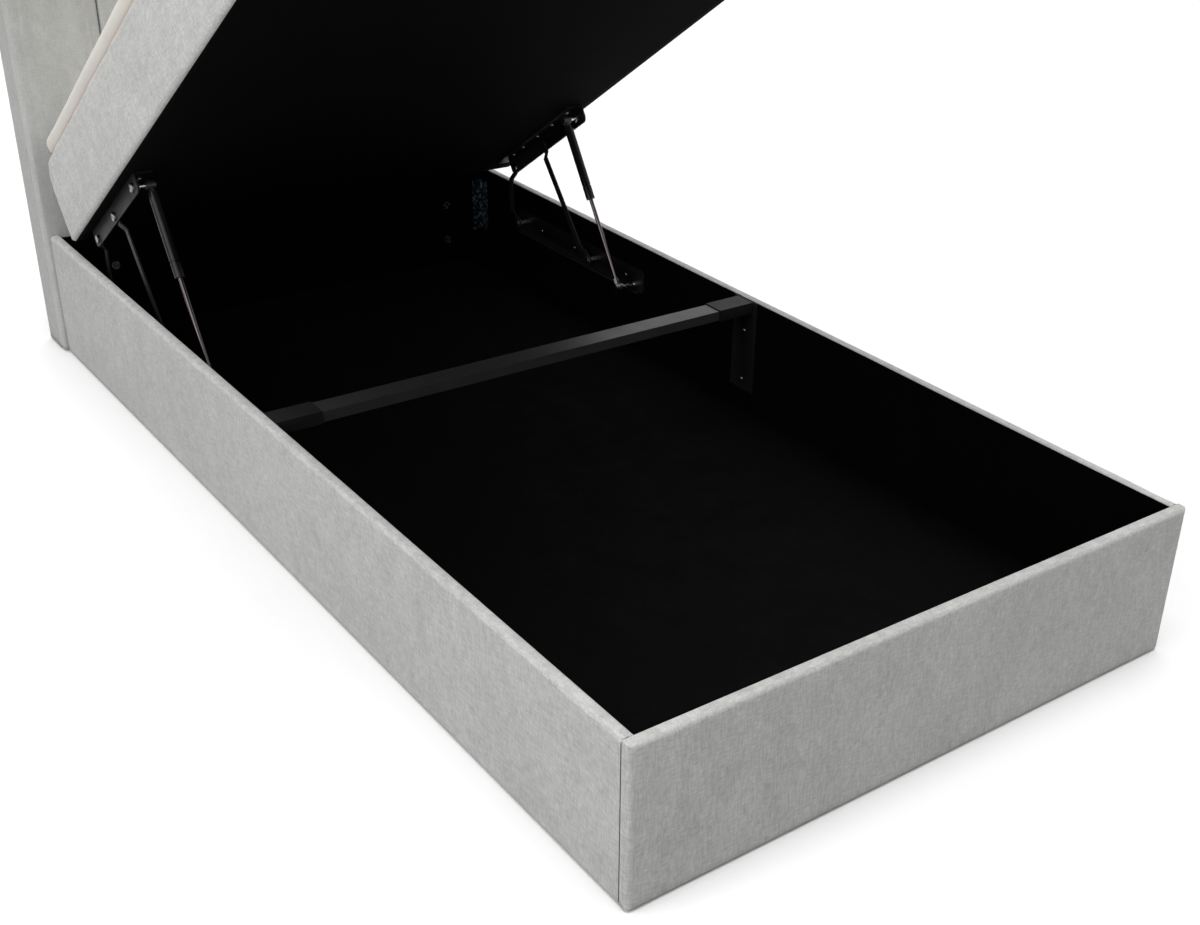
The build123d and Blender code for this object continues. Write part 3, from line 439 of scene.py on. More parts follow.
def board(name, light, dark, flakes, gloss=0.12):
    """Particle board or a faced board: flakes, pores and a dull surface."""
    r = Recipe(name)
    chips = r.channels(r.cells(flakes, stretch=(1.0, 0.45, 1.0)))
    drift = r.noise(14.0, 4.0, 0.6)
    base = r.ramp(chips["Red"], [(0.0, dark), (1.0, light)])
    base = r.shaded(base, drift, 0.3, 0.7, 0.88, 1.1)
    r.colour(base)
    r.roughness(r.span(drift, 0.3, 0.7, 0.62, 0.8))
    r.gloss(gloss)
    r.normal(r.bump(chips["Green"], 0.12, 0.0002))
    return r.material


def spruce(name, stretch):
    """Planed spruce: long grain with darker late wood."""
    r = Recipe(name)
    grain = r.noise(60.0, 5.0, 0.6, stretch, 0.8)
    pores = r.noise(700.0, 3.0, 0.6, stretch)
    tones = [(0.32, linear(176, 138, 92)), (0.52, linear(212, 178, 130)), (0.72, linear(224, 194, 150))]
    base = r.ramp(grain, tones)
    dark_pores = r.ramp(pores, [(0.3, (0.9, 0.88, 0.85, 1)), (0.7, (1.05, 1.05, 1.05, 1))])
    base = r.mix("MULTIPLY", 1.0, base, dark_pores)
    r.colour(base)
    r.roughness(r.span(grain, 0.3, 0.7, 0.5, 0.68))
    r.normal(r.bump(pores, 0.2, 0.0003))
    return r.material


def thread_and_seam_shadow(name, colour):
    """Sewing thread, and the painted shadow of a tight seam: a dark strip in a thread colour."""
    r = Recipe(name)
    twist = r.noise(900.0, 2.0, 0.5, (1, 1, 0.4))
    r.colour(r.ramp(twist, [(0.3, shade(colour, 0.8)), (0.7, shade(colour, 1.2))]))
    r.roughness(0.95)
    r.gloss(0.05)
    r.normal(r.bump(twist, 0.3, 0.0002))
    return r.material


def plastic():
    """Moulded black plastic with a fine grain."""
    r = Recipe("black_plastic_material")
    grain = r.noise(1300.0, 2.0, 0.5)
    drift = r.noise(60.0, 3.0, 0.5)
    r.colour(r.ramp(drift, [(0.3, linear(13, 13, 14)), (0.7, linear(22, 22, 23))]))
    r.roughness(r.span(drift, 0.3, 0.7, 0.38, 0.52))
    r.normal(r.bump(grain, 0.3, 0.0002))
    return r.material


GREY = linear(181, 181, 179)
MATERIALS = {
    "upholstery": velour("upholstery_velour_material", GREY, "z"),
    # The lid's cover is the base's cloth, written lighter as painted light: its side shows brighter than the
    # base's side.
    "lid": velour("lid_velour_material", linear(189, 189, 187), "z"),
    "headboard": velour("headboard_velour_material", linear(182, 183, 181), "z", 0.5),
    "headboard_band": velour("headboard_band_velour_material", linear(176, 177, 175), "z", 0.6),
    "black_cloth": black_cloth(),
    "topper": knitted((0.168, 0.206)),
    "black_steel": powder_coat("black_steel_material", 4, 9, 0.3, 0.46, 0.06),
    "dark_steel": powder_coat("crossbar_steel_material", 13, 20, 0.28, 0.4, 0.32),
    "gloss_black": powder_coat("cylinder_gloss_material", 3, 6, 0.06, 0.12, 0.16),
    "bright": bright_zinc("bright_steel_material", linear(205, 205, 208), 0.16, 0.32),
    "nitrided": bright_zinc("nitrided_rod_material", linear(72, 66, 68), 0.08, 0.15),
    "zinc_dark": bright_zinc("socket_steel_material", linear(128, 126, 128), 0.2, 0.34),
    "seam": thread_and_seam_shadow("seam_thread_material", linear(74, 74, 73)),
    "zinc": galvanised(),
    "chipboard": board("chipboard_material", linear(205, 182, 146), linear(160, 132, 96), 260.0),
    "black_board": board("black_board_material", linear(6, 6, 6), linear(2, 2, 2), 420.0, 0.04),
    "timber_x": spruce("spruce_across_material", (0.06, 1, 1)),
    "timber_y": spruce("spruce_along_material", (1, 0.06, 1)),
    "timber_z": spruce("spruce_upright_material", (1, 1, 0.06)),
    "plastic": plastic(),
}


def paint(obj, material):
    obj.data.materials.clear()
    obj.data.materials.append(MATERIALS[material])


def both(*names):
    return [f"{name}_{side}" for name in names for side in ("left", "right")]


NODE_MATERIALS = {
    "chipboard": both("side_board") + ["foot_board", "headboard_board"],
    "black_board": ("head_panel", "floor_board_front", "floor_board_rear"),
    "timber_x": ("floor_cross_battens", "lid_end_rails", "lid_slats"),
    "timber_y": ("floor_ledgers", "lid_side_rails"),
    "timber_z": ("headboard_frame",),
    "plastic": ("floor_glides", "rod_guides", "cylinder_sockets"),
    "dark_steel": ("crossbar",),
    "zinc": ("corner_angles",),
    "black_steel": both("crossbar_bracket", "base_plate", "rear_link", "front_link", "lid_bracket"),
    "bright": (
        "headboard_bolts", "side_wall_bolts", "base_pivot_pins", "strut_base_studs", "front_link_rivets",
        "lid_bracket_bolts", "strut_upper_studs",
    ),
    "zinc_dark": ("lid_pivot_bolts", "rod_sockets"),
    "nitrided": both("gas_rod"),
    "gloss_black": both("gas_cylinder"),
}
for material_name, node_names in NODE_MATERIALS.items():
    for node_name in node_names:
        paint(NODES[node_name], material_name)


# Camera, light, floor

def make_camera():
    data = bpy.data.cameras.new("camera")
    right = Vector((0.7946046, -0.6060517, 0.0361226))
    down = Vector((-0.2696612, -0.4056126, -0.8733620))
    forward = Vector((0.5439543, 0.6842366, -0.4857303))
    turn = Matrix((right, -down, -forward)).transposed()
    place = Matrix.Translation((-1.31182, -2.17188, 1.31847))
    data.sensor_width = 36.0
    data.sensor_fit = "HORIZONTAL"
    data.lens = 46.516
    data.shift_x = -0.07905
    data.shift_y = 0.04296
    data.clip_start = 0.05
    data.clip_end = 100.0
    scene.camera = new_object("camera", data, place @ turn.to_4x4())


def make_world():
    world = bpy.data.worlds.new("studio")
    scene.world = world
    world.use_nodes = True
    tree = world.node_tree
    background = tree.nodes["Background"]
    background.inputs["Color"].default_value = (1.0, 1.0, 1.0, 1.0)
    path = tree.nodes.new("ShaderNodeLightPath")
    seen = tree.nodes.new("ShaderNodeMath")
    seen.operation = "MAXIMUM"
    tree.links.new(path.outputs["Is Camera Ray"], seen.inputs[0])
    tree.links.new(path.outputs["Is Glossy Ray"], seen.inputs[1])
    strength = tree.nodes.new("ShaderNodeMapRange")
    strength.inputs["To Min"].default_value = 0.39
    strength.inputs["To Max"].default_value = 1.0
    tree.links.new(seen.outputs["Value"], strength.inputs["Value"])
    tree.links.new(strength.outputs["Result"], background.inputs["Strength"])


def make_lamp(name, data, towards, place=(0.0, 0.0, 0.0)):
    lamp = new_object(name, data)
    lamp.location = place
    lamp.rotation_mode = "QUATERNION"
    lamp.rotation_quaternion = Vector(towards).to_track_quat("Z", "Y")


def make_sun(name, towards, strength, angle):
    data = bpy.data.lights.new(name, "SUN")
    data.energy = strength
    data.angle = math.radians(angle)
    make_lamp(name, data, towards)


def make_softbox(name, place, target, size, power):
    data = bpy.data.lights.new(name, "AREA")
    data.shape = "RECTANGLE"
    data.size, data.size_y = size
    data.energy = power
    make_lamp(name, data, Vector(place) - Vector(target), place)


def make_floor():
    bm = bmesh.new()
    step = spread(-14.0, 14.0, 1.0)
    add_grid(bm, [[(x, y, 0.0) for x in step] for y in step])
    floor = from_bmesh("studio_floor", bm)
    r = Recipe("floor_material")
    drift = r.noise(0.8, 2.0, 0.5)
    path = r.node("ShaderNodeLightPath")
    seen = r.math("MAXIMUM", path.outputs["Is Camera Ray"], path.outputs["Is Glossy Ray"])
    seen = r.math("MAXIMUM", seen, path.outputs["Is Transmission Ray"])
    bounced = r.grey_ramp(drift, 0.3, 0.7, 0.39, 0.41)
    shown = r.grey_ramp(drift, 0.3, 0.7, 0.85, 0.87)
    r.colour(r.mix("MIX", seen, bounced, shown))
    r.roughness(0.9)
    r.gloss(0.1)
    floor.data.materials.append(r.material)


make_camera()
make_world()
make_softbox("side_softbox", (-2.6, -0.6, 1.5), (-0.5, -0.1, 0.3), (2.0, 1.2), 25.0)
make_sun("front_fill", (-0.5, -0.6, 0.62), 0.38, 40.0)
make_sun("overhead_softbox", (0.0, 0.0, 1.0), 2.6, 50.0)
make_floor()


# Covers of the base

LAP_UNDER = 0.028  # of the cloth under a board
COVER = 0.001  # the CAD cover's thickness
CLOTH = COVER * 0.9  # a little less
RIM_RADIUS = 0.008  # outer edge of the padded rim
SEAM_ROLL = 0.0008  # how far the cloth turns in at a corner seam
SEAM_REACH = 0.006  # over what length it does
FABRIC_STEP = 0.011
SHEET_STEP = 0.014
BLACK_CLOTH = 0.0006  # its thickness


def wrapped_profile(thickness, top, bottom, lap, radius):
    """From the lap inside over the rounded top, down the outside and under: (distance in from the face, z)."""
    inner = edge = 0.003
    points = [(thickness, lap + (top - inner - lap) * i / 2) for i in range(2)]
    points += arc(thickness - inner, top - inner, inner, 0, 90, 4)
    points += [(x, top) for x in spread(thickness - inner, radius, 0.0022)[1:-1]]
    points += [(2 * radius - x, z) for x, z in arc(radius, top - radius, radius, 90, 0, 6)]
    points += [(0.0, z) for z in spread(top - radius, bottom + edge, 0.008)[1:-1]]
    points += [(2 * edge - x, z) for x, z in arc(edge, bottom + edge, edge, 0, -90, 3)]
    points += [(x, bottom) for x in spread(edge, LAP_UNDER, 0.008)[1:]]
    return points


def side_fabric(side):
    name = "left" if side < 0 else "right"
    lo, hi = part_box(f"side_cover_{name}")
    outer = max(abs(lo.x), abs(hi.x))
    thickness = hi.x - lo.x
    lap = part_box("storage_lining")[1].z
    profile = wrapped_profile(thickness, hi.z, lo.z - COVER * 0.8, lap, RIM_RADIUS)
    rows = []
    stations = spread(lo.y, hi.y, FABRIC_STEP)
    for y in [lo.y + d for d in (0.0, 0.0015, 0.003, SEAM_REACH)] + stations[1:]:
        roll = SEAM_ROLL * max(0.0, 1 - (y - lo.y) / SEAM_REACH) ** 2
        row = []
        for inset, z in profile:
            depth = inset + (roll if inset < thickness / 2 else 0.0)
            row.append((side * (outer - depth), y, z))
        rows.append(row)
    for tuck in (0.0009, 0.0025, 0.006, 0.0086):
        def flap(y):
            return [
                (side * (outer - min(max(inset, tuck), thickness - tuck)), y, min(z, hi.z - tuck))
                for inset, z in profile
            ]
        rows.insert(0, flap(lo.y - 0.0004))
        rows.append(flap(hi.y + 0.0006))
    bm = bmesh.new()
    add_grid(bm, rows)
    face = max(bm.faces, key=lambda f: abs(f.normal.x) * f.calc_area())
    reverse_if(face.normal.x * side < 0, bm)
    obj = from_bmesh(f"side_fabric_{name}", bm)

    def amount(p):
        if p.z < lo.z + 0.004 or abs(p.x) < outer - 0.009:
            return 0.0
        near_foot = max(0.0, 1 - (p.y - lo.y) / 0.22)
        near_head = max(0.0, 1 - (hi.y - p.y) / 0.14)
        pulls = wave((p.x, p.y + p.z * 0.35, p.z), (1, 0.03, 0.16), 3.1 * side)
        soft = wave(p, (1, 0.22, 0.16), 7.7 * side)
        fade = min(1.0, (p.z - lo.z) / 0.03) * max(0.0, min(1.0, (p.y - lo.y) / 0.02, (hi.y - p.y) / 0.02))
        return fade * (0.0005 * soft + 0.0009 * (near_foot + near_head) * pulls - 0.0004)

    displace(obj, amount)
    solidify(obj, CLOTH)
    paint(obj, "upholstery")
    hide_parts(f"side_cover_{name}")
    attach(obj, "base")

    # A dark strip along the corner seam: painted shadow of the gap where the side and foot covers meet.
    depth = 0.0003
    line = wrapped_profile(thickness - 2 * depth, hi.z - depth, lo.z + depth, lap, RIM_RADIUS - depth)
    line = [(inset + depth, z) for inset, z in line if inset < thickness * 0.6]
    bm = bmesh.new()
    add_grid(bm, [[(side * (outer - inset), lo.y + y, z) for inset, z in line] for y in (-0.0007, 0.0, 0.0007)])
    reverse_if(max(bm.faces, key=lambda f: abs(f.normal.x)).normal.x * side < 0, bm)
    seam = from_bmesh(f"corner_seam_{name}", bm)
    solidify(seam, 0.0004)
    paint(seam, "seam")
    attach(seam, "base")


def foot_fabric():
    lo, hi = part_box("foot_cover")
    thickness = hi.y - lo.y
    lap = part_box("storage_lining")[1].z
    radius = RIM_RADIUS
    bottom = lo.z - COVER * 0.8
    half = hi.x
    edge = 0.0024
    profile = wrapped_profile(thickness, hi.z, bottom, lap, radius)
    ends = [radius * (1 - math.sin(math.radians(a))) for a in (90, 75, 60, 45, 30, 15)]
    ends = sorted(ends + [edge * (1 - math.sin(math.radians(a))) for a in (60, 30, 0)])
    stations = [-half + d for d in ends] + spread(-half + radius, half - radius, FABRIC_STEP)
    stations += [half - d for d in reversed(ends)]

    def end_roll(inset):
        return SEAM_ROLL * max(0.0, 1 - (thickness - inset) / SEAM_REACH) ** 2

    def top_at(from_end):
        """The top's height near an end, where its edge is rounded."""
        beyond = max(0.0, edge - from_end)
        return hi.z - edge + math.sqrt(max(0.0, edge * edge - beyond * beyond))

    rows = []
    for x in stations:
        from_end = half - abs(x)
        beyond = max(0.0, radius - from_end)
        drop = radius - math.sqrt(max(0.0, radius * radius - beyond * beyond))
        row = []
        for inset, z in profile:
            across = math.copysign(min(abs(x), half - end_roll(inset)), x)
            row.append((across, lo.y + max(inset, drop), min(z, top_at(from_end))))
        rows.append(row)
    bm = bmesh.new()
    add_grid(bm, rows)
    front = [f for f in bm.faces if abs(f.normal.y) > 0.9 and f.calc_center_median().y < lo.y + 0.002]
    reverse_if(front[0].normal.y > 0, bm)
    for side in (-1, 1):
        columns = [(i, z) for i, z in profile if i > radius - 1e-6 and z > hi.z - radius - 1e-6]
        strip = []
        for inset, z in columns:
            top = min(z, hi.z - edge)
            x = side * (half - end_roll(inset))
            strip.append([(x, lo.y + inset, bottom + (top - bottom) * k / 30) for k in range(31)])
        made = add_grid(bm, strip)
        faces = list(dict.fromkeys(f for row in made for v in row for f in v.link_faces))
        face = max(faces, key=lambda f: f.calc_area())
        reverse_if(face.normal.x * side < 0, bm, faces)
    merge_near(bm, 0.0003)
    obj = from_bmesh("foot_fabric", bm)

    def amount(p):
        if p.z < lo.z + 0.004 or p.y > lo.y + 0.007:
            return 0.0
        ends = max(0.0, 1 - (half - abs(p.x)) / 0.16)
        pulls = wave((p.x + p.z * 0.3, p.y, p.z), (0.035, 1, 0.15), 5.3)
        soft = wave(p, (0.2, 1, 0.16), 1.9)
        fade = min(1.0, (p.z - lo.z) / 0.03) * min(1.0, (half - abs(p.x)) / 0.02)
        return fade * (0.0005 * soft + 0.0008 * ends * pulls - 0.0004)

    displace(obj, amount)
    solidify(obj, CLOTH)
    paint(obj, "upholstery")
    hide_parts("foot_cover")
    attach(obj, "base")


for side_sign in (-1, 1):
    side_fabric(side_sign)
foot_fabric()


# Lining of the storage box

def lining():
    """The black sheets on the four walls inside the box, as one band with soft corners."""
    lo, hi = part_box("storage_lining")
    depth, corner = 0.001, 0.004
    half_x, half_y = (hi.x - lo.x) / 2 - depth, (hi.y - lo.y) / 2 - depth
    middle = (hi.y + lo.y) / 2
    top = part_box("side_cover_left")[1].z - 0.0022
    rows = []
    for z in [lo.z] + spread(lo.z + 0.002, top - 0.001, 0.0125) + [top]:
        tuck = 0.0004 if z > top - 0.0005 else 0.0
        points = ring_points(half_x + tuck, half_y + tuck, corner, round(half_x / 0.006), round(half_y / 0.006), 4)
        rows.append([(x, y + middle, z) for x, y in points])
    bm = bmesh.new()
    add_grid(bm, rows, wrap=True)
    reverse_if(max(bm.faces, key=lambda f: f.calc_center_median().x).normal.x > 0, bm)
    obj = from_bmesh("storage_lining_sheet", bm)

    def amount(p):
        soft = wave(p, (0.25, 0.25, 0.12), 3.7)
        slack = max(0.0, wave(p, (0.07, 0.07, 0.3), 6.4))
        return 0.0002 + 0.0002 * soft + 0.0006 * slack * max(0.0, min(1.0, (top - p.z) / 0.05))

    displace(obj, amount)
    solidify(obj, BLACK_CLOTH)
    paint(obj, "black_cloth")
    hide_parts("storage_lining")
    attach(obj, "base")


lining()


# Headboard

PAD_RADIUS = 0.006
PAD_STEP = 0.011
PAD_HOLLOW = 0.0022  # how much shallower a pad is before it swells
PAD_HELD = 0.012  # what lies further back is held
PAD_PRESSURE = 0.16
PAD_CAP = 0.004  # the most that a point may move
PAD_VOXEL = 0.006
PAD_FRAMES = 20
PAD_NEIGHBOURS = 8  # points of the even mesh that a pad's point follows


def pad_form(lo, hi, radius, step):
    """A block's surface as a fine mesh, its edges rounded. The face towards +Y stays flat and square."""
    bm = bmesh.new()
    middle = (lo + hi) / 2
    size = hi - lo
    bmesh.ops.create_cube(bm, size=1.0)
    for v in bm.verts:
        v.co = Vector((middle.x + v.co.x * size.x, middle.y + v.co.y * size.y, middle.z + v.co.z * size.z))
    for axis in range(3):
        places = set(spread(lo[axis] + radius, hi[axis] - radius, step))
        for share in (0.12, 0.3, 0.55, 0.8):
            places.add(lo[axis] + radius * share)
            places.add(hi[axis] - radius * share)
        for place in sorted(places):
            if not lo[axis] + 1e-6 < place < hi[axis] - 1e-6:
                continue
            point, normal = Vector((0, 0, 0)), Vector((0, 0, 0))
            point[axis] = place
            normal[axis] = 1.0
            bmesh.ops.bisect_plane(
                bm, geom=bm.verts[:] + bm.edges[:] + bm.faces[:], plane_co=point, plane_no=normal, dist=1e-7
            )
    for v in bm.verts:
        inner = Vector((
            min(max(v.co.x, lo.x + radius), hi.x - radius),
            min(max(v.co.y, lo.y + radius), hi.y),
            min(max(v.co.z, lo.z + radius), hi.z - radius),
        ))
        away = v.co - inner
        if v.co.y > hi.y - 1e-6:
            away.y = 0
        if away.length > 1e-9:
            v.co = inner + away.normalized() * radius
    return bm


def swollen(obj, held_from, pressure, cap):
    """Swells a pad by a short cloth simulation on an even mesh of its form, whose moves its own points get.
    What lies beyond held_from along Y is held, and no point moves further than cap."""
    even = new_object("even_pad", obj.data.copy())
    remesh = even.modifiers.new("even", "REMESH")
    remesh.mode = "VOXEL"
    remesh.voxel_size = PAD_VOXEL
    graph = bpy.context.evaluated_depsgraph_get()
    even_mesh = bpy.data.meshes.new_from_object(even.evaluated_get(graph))
    even.modifiers.clear()
    even.data = even_mesh
    start = [v.co.copy() for v in even_mesh.vertices]
    held = even.vertex_groups.new(name="held")
    held.add([v.index for v in even_mesh.vertices if v.co.y > held_from], 1.0, "REPLACE")
    cloth = even.modifiers.new("swelling", "CLOTH")
    cloth.settings.use_pressure = True
    cloth.settings.uniform_pressure_force = pressure
    cloth.settings.vertex_group_mass = held.name
    cloth.settings.effector_weights.gravity = 0.0
    cloth.settings.tension_stiffness = 40.0
    cloth.settings.compression_stiffness = 40.0
    cloth.settings.bending_stiffness = 2.0
    for number in range(1, PAD_FRAMES + 1):
        scene.frame_set(number)
    graph = bpy.context.evaluated_depsgraph_get()
    result = bpy.data.meshes.new_from_object(even.evaluated_get(graph))
    moves = [after.co - before for after, before in zip(result.vertices, start)]
    bpy.data.meshes.remove(result)
    bpy.data.objects.remove(even)
    bpy.data.meshes.remove(even_mesh)
    scene.frame_set(1)
    tree = kdtree.KDTree(len(start))
    for index, place in enumerate(start):
        tree.insert(place, index)
    tree.balance()
    for v in obj.data.vertices:
        if v.co.y > held_from:
            continue
        near = tree.find_n(v.co, PAD_NEIGHBOURS)
        weights = [1 / (distance + 0.002) ** 2 for _, _, distance in near]
        move = sum((moves[index] * w for (_, index, _), w in zip(near, weights)), Vector()) / sum(weights)
        if move.length > cap:
            move *= cap / move.length
        v.co += move


def channel_pads():
    """Upright padded channels. Their cloth runs on down over the base block, behind the base."""
    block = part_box("headboard_base_block")
    boxes = [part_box(f"headboard_channel_{number}") for number in range(1, 7)]
    lo, hi = Vector(boxes[0][0]), Vector(boxes[0][1])
    lo.z = block[0].z
    hollow = PAD_HOLLOW
    form = pad_form(lo + Vector((0, hollow, 0)), hi, PAD_RADIUS, PAD_STEP)
    first = from_bmesh("headboard_pad_1", form)
    swollen(first, lo.y + PAD_HELD, PAD_PRESSURE, PAD_CAP)
    shape = first.data.copy()
    for number, (low, high) in enumerate(boxes, 1):
        obj = first if number == 1 else new_object(f"headboard_pad_{number}", shape.copy())
        centre = (low.x + high.x) / 2
        half = (high.x - low.x) / 2
        for v in obj.data.vertices:
            v.co.x += centre - (lo.x + hi.x) / 2

        def amount(p):
            if p.y > lo.y + 0.008:
                return 0.0
            across = (p.x - centre) / half
            top = max(0.0, 1 - (hi.z - p.z) / 0.03)
            soft = wave(p, (0.09, 1, 0.3), number * 1.7)
            pulls = wave(p, (0.016, 1, 0.11), number * 2.3) * abs(across) ** 3
            return -0.004 * top ** 2 + 0.0005 * soft + 0.0004 * pulls - 0.0005

        displace(obj, amount)
        paint(obj, "headboard")
        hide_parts(f"headboard_channel_{number}")
        if number == 1:
            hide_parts("headboard_base_block")
        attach(obj, "base")


def headboard_band():
    """Cloth round the sides and the top of the headboard behind its pads."""
    lo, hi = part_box("headboard_cover")
    half, top, bottom = hi.x, hi.z, lo.z
    corner = 0.0024
    path = [(-half, z, -1, 0) for z in spread(bottom, top - corner, SHEET_STEP)[:-1]]
    for x, z in arc(-half + corner, top - corner, corner, 180, 90, 5):
        path.append((x, z, (x + half - corner) / corner, (z - top + corner) / corner))
    path += [(x, top, 0, 1) for x in spread(-half + corner, half - corner, SHEET_STEP)[1:-1]]
    for x, z in arc(half - corner, top - corner, corner, 90, 0, 5):
        path.append((x, z, (x - half + corner) / corner, (z - top + corner) / corner))
    path += [(half, z, 1, 0) for z in spread(top - corner, bottom, SHEET_STEP)[1:]]
    depth = hi.y - lo.y
    stations = [(0.0, 0.0008), (0.002, 0.0003), (0.005, 0.0)]
    stations += [(d, 0.0) for d in spread(0.005, depth - 0.003, 0.012)[1:]]
    stations += [(depth - 0.0012, 0.0003), (depth, 0.0012), (depth + 0.0005, 0.0025), (depth + 0.0006, 0.022)]
    rows = []
    for d, inset in stations:
        rows.append([(x - nx * inset, lo.y + d, z - nz * inset) for x, z, nx, nz in path])
    bm = bmesh.new()
    add_grid(bm, rows)
    side = [f for f in bm.faces if abs(f.normal.x) > 0.9]
    reverse_if(side[0].normal.x * side[0].calc_center_median().x < 0, bm)
    obj = from_bmesh("headboard_band", bm)

    def amount(p):
        if p.y > hi.y - 0.008 or p.y < lo.y + 0.003:
            return 0.0
        return 0.0006 * wave(p, (0.3, 0.2, 0.12), 6.1) + 0.0004 * wave(p, (0.2, 0.05, 0.03), 2.2) - 0.0004

    displace(obj, amount)
    solidify(obj, CLOTH)
    paint(obj, "headboard_band")
    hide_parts("headboard_cover")
    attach(obj, "base")


def staples(name, places, matrix, body):
    """Wire staples that lie on a cloth: a crown bar with two short bent ends each."""
    bm = bmesh.new()
    for x, y, z, along in places:
        ux, uy = math.cos(along), math.sin(along)
        ring = []
        for u, drop in ((-0.0048, 0.0009), (-0.0042, 0.0), (0.0042, 0.0), (0.0048, 0.0009)):
            cross = []
            for k in range(6):
                a = math.radians(60 * k)
                v, w = 0.0006 * math.cos(a), 0.0005 * math.sin(a)
                cross.append((x + ux * u - uy * v, y + uy * u + ux * v, z - w + drop))
            ring.append(cross)
        made = add_grid(bm, ring, wrap=True)
        for end in (made[0], made[-1]):
            bm.faces.new(end)
    bmesh.ops.recalc_face_normals(bm, faces=bm.faces)
    obj = from_bmesh(name, bm, matrix)
    paint(obj, "bright")
    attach(obj, body)


def back_cloth():
    lo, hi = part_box("headboard_back_cloth")
    inset = 0.007
    rows = []
    for z in spread(lo.z + 0.004, hi.z - inset, SHEET_STEP):
        row = []
        for x in spread(lo.x + inset, hi.x - inset, SHEET_STEP):
            edge = min(x - lo.x - inset, hi.x - inset - x, z - lo.z, hi.z - inset - z)
            hollow = min(1.0, max(0.0, (edge - 0.045) / 0.06))
            dent = 0.0009 * hollow * (0.5 + 0.5 * noise.noise(Vector((x * 5, z * 5, 1.0))))
            pucker = 0.0003 * math.sin(z * 2 * math.pi / 0.06) * max(0.0, 1 - edge / 0.03)
            row.append((x, hi.y + 0.0008 - dent + pucker, z))
        rows.append(row)
    bm = bmesh.new()
    add_grid(bm, rows)
    reverse_if(next(iter(bm.faces)).normal.y < 0, bm)
    obj = from_bmesh("headboard_back_sheet", bm)
    solidify(obj, BLACK_CLOTH)
    paint(obj, "black_cloth")
    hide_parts("headboard_back_cloth")
    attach(obj, "base")
    places = []
    across = Matrix(((1, 0, 0, 0), (0, 0, -1, hi.y + 0.0008), (0, 1, 0, 0), (0, 0, 0, 1)))
    for z in spread(lo.z + 0.05, hi.z - 0.05, 0.07):
        places.append((lo.x + 0.014, z, 0.0, math.radians(90)))
        places.append((hi.x - 0.014, z, 0.0, math.radians(90)))
    for x in spread(lo.x + 0.05, hi.x - 0.05, 0.07):
        places.append((x, hi.z - 0.014, 0.0, 0.0))
    staples("headboard_staples", places, across, "base")


channel_pads()
headboard_band()
back_cloth()


# Lid: its own frame, worked out from the flat cloth under it

def lid_matrix():
    """Frame of the lid: origin at the middle of its underside, x across, y towards the head, z out of its top."""
    mesh = NODES["lid_underside_cloth"].data
    largest = max(mesh.polygons, key=lambda f: f.area)
    up = largest.normal.copy()
    if up.z < 0:
        up.negate()
    across = Vector((1, 0, 0))
    along = up.cross(across).normalized()
    turn = Matrix((across, along, up)).transposed().to_4x4()
    lo, hi = extent([v.co for v in mesh.vertices], turn)
    origin = turn @ Vector(((lo.x + hi.x) / 2, (lo.y + hi.y) / 2, lo.z))
    return Matrix.Translation(origin) @ turn


LID = lid_matrix()


def lid_extent(node):
    return extent([v.co for v in NODES[node].data.vertices], LID)


def ring_block(name, half_x, half_y, corner, profile, closed_bottom):
    """Rings of a rounded rectangle along a profile of (inset, z), closed at the top."""
    step = 0.012
    nx, ny = round(2 * half_x / step), round(2 * half_y / step)
    rows = []
    for inset, z in profile:
        radius = max(corner - inset, corner * 0.2)
        rows.append([(x, y, z) for x, y in ring_points(half_x - inset, half_y - inset, radius, nx, ny)])
    bm = bmesh.new()
    made = add_grid(bm, rows, wrap=True)
    bm.faces.new(made[-1])
    if closed_bottom:
        bm.faces.new(list(reversed(made[0])))
    bmesh.ops.recalc_face_normals(bm, faces=bm.faces)
    bm.normal_update()
    top = max(bm.faces, key=lambda f: f.calc_center_median().z)
    reverse_if(top.normal.z < 0, bm)
    return from_bmesh(name, bm, LID)


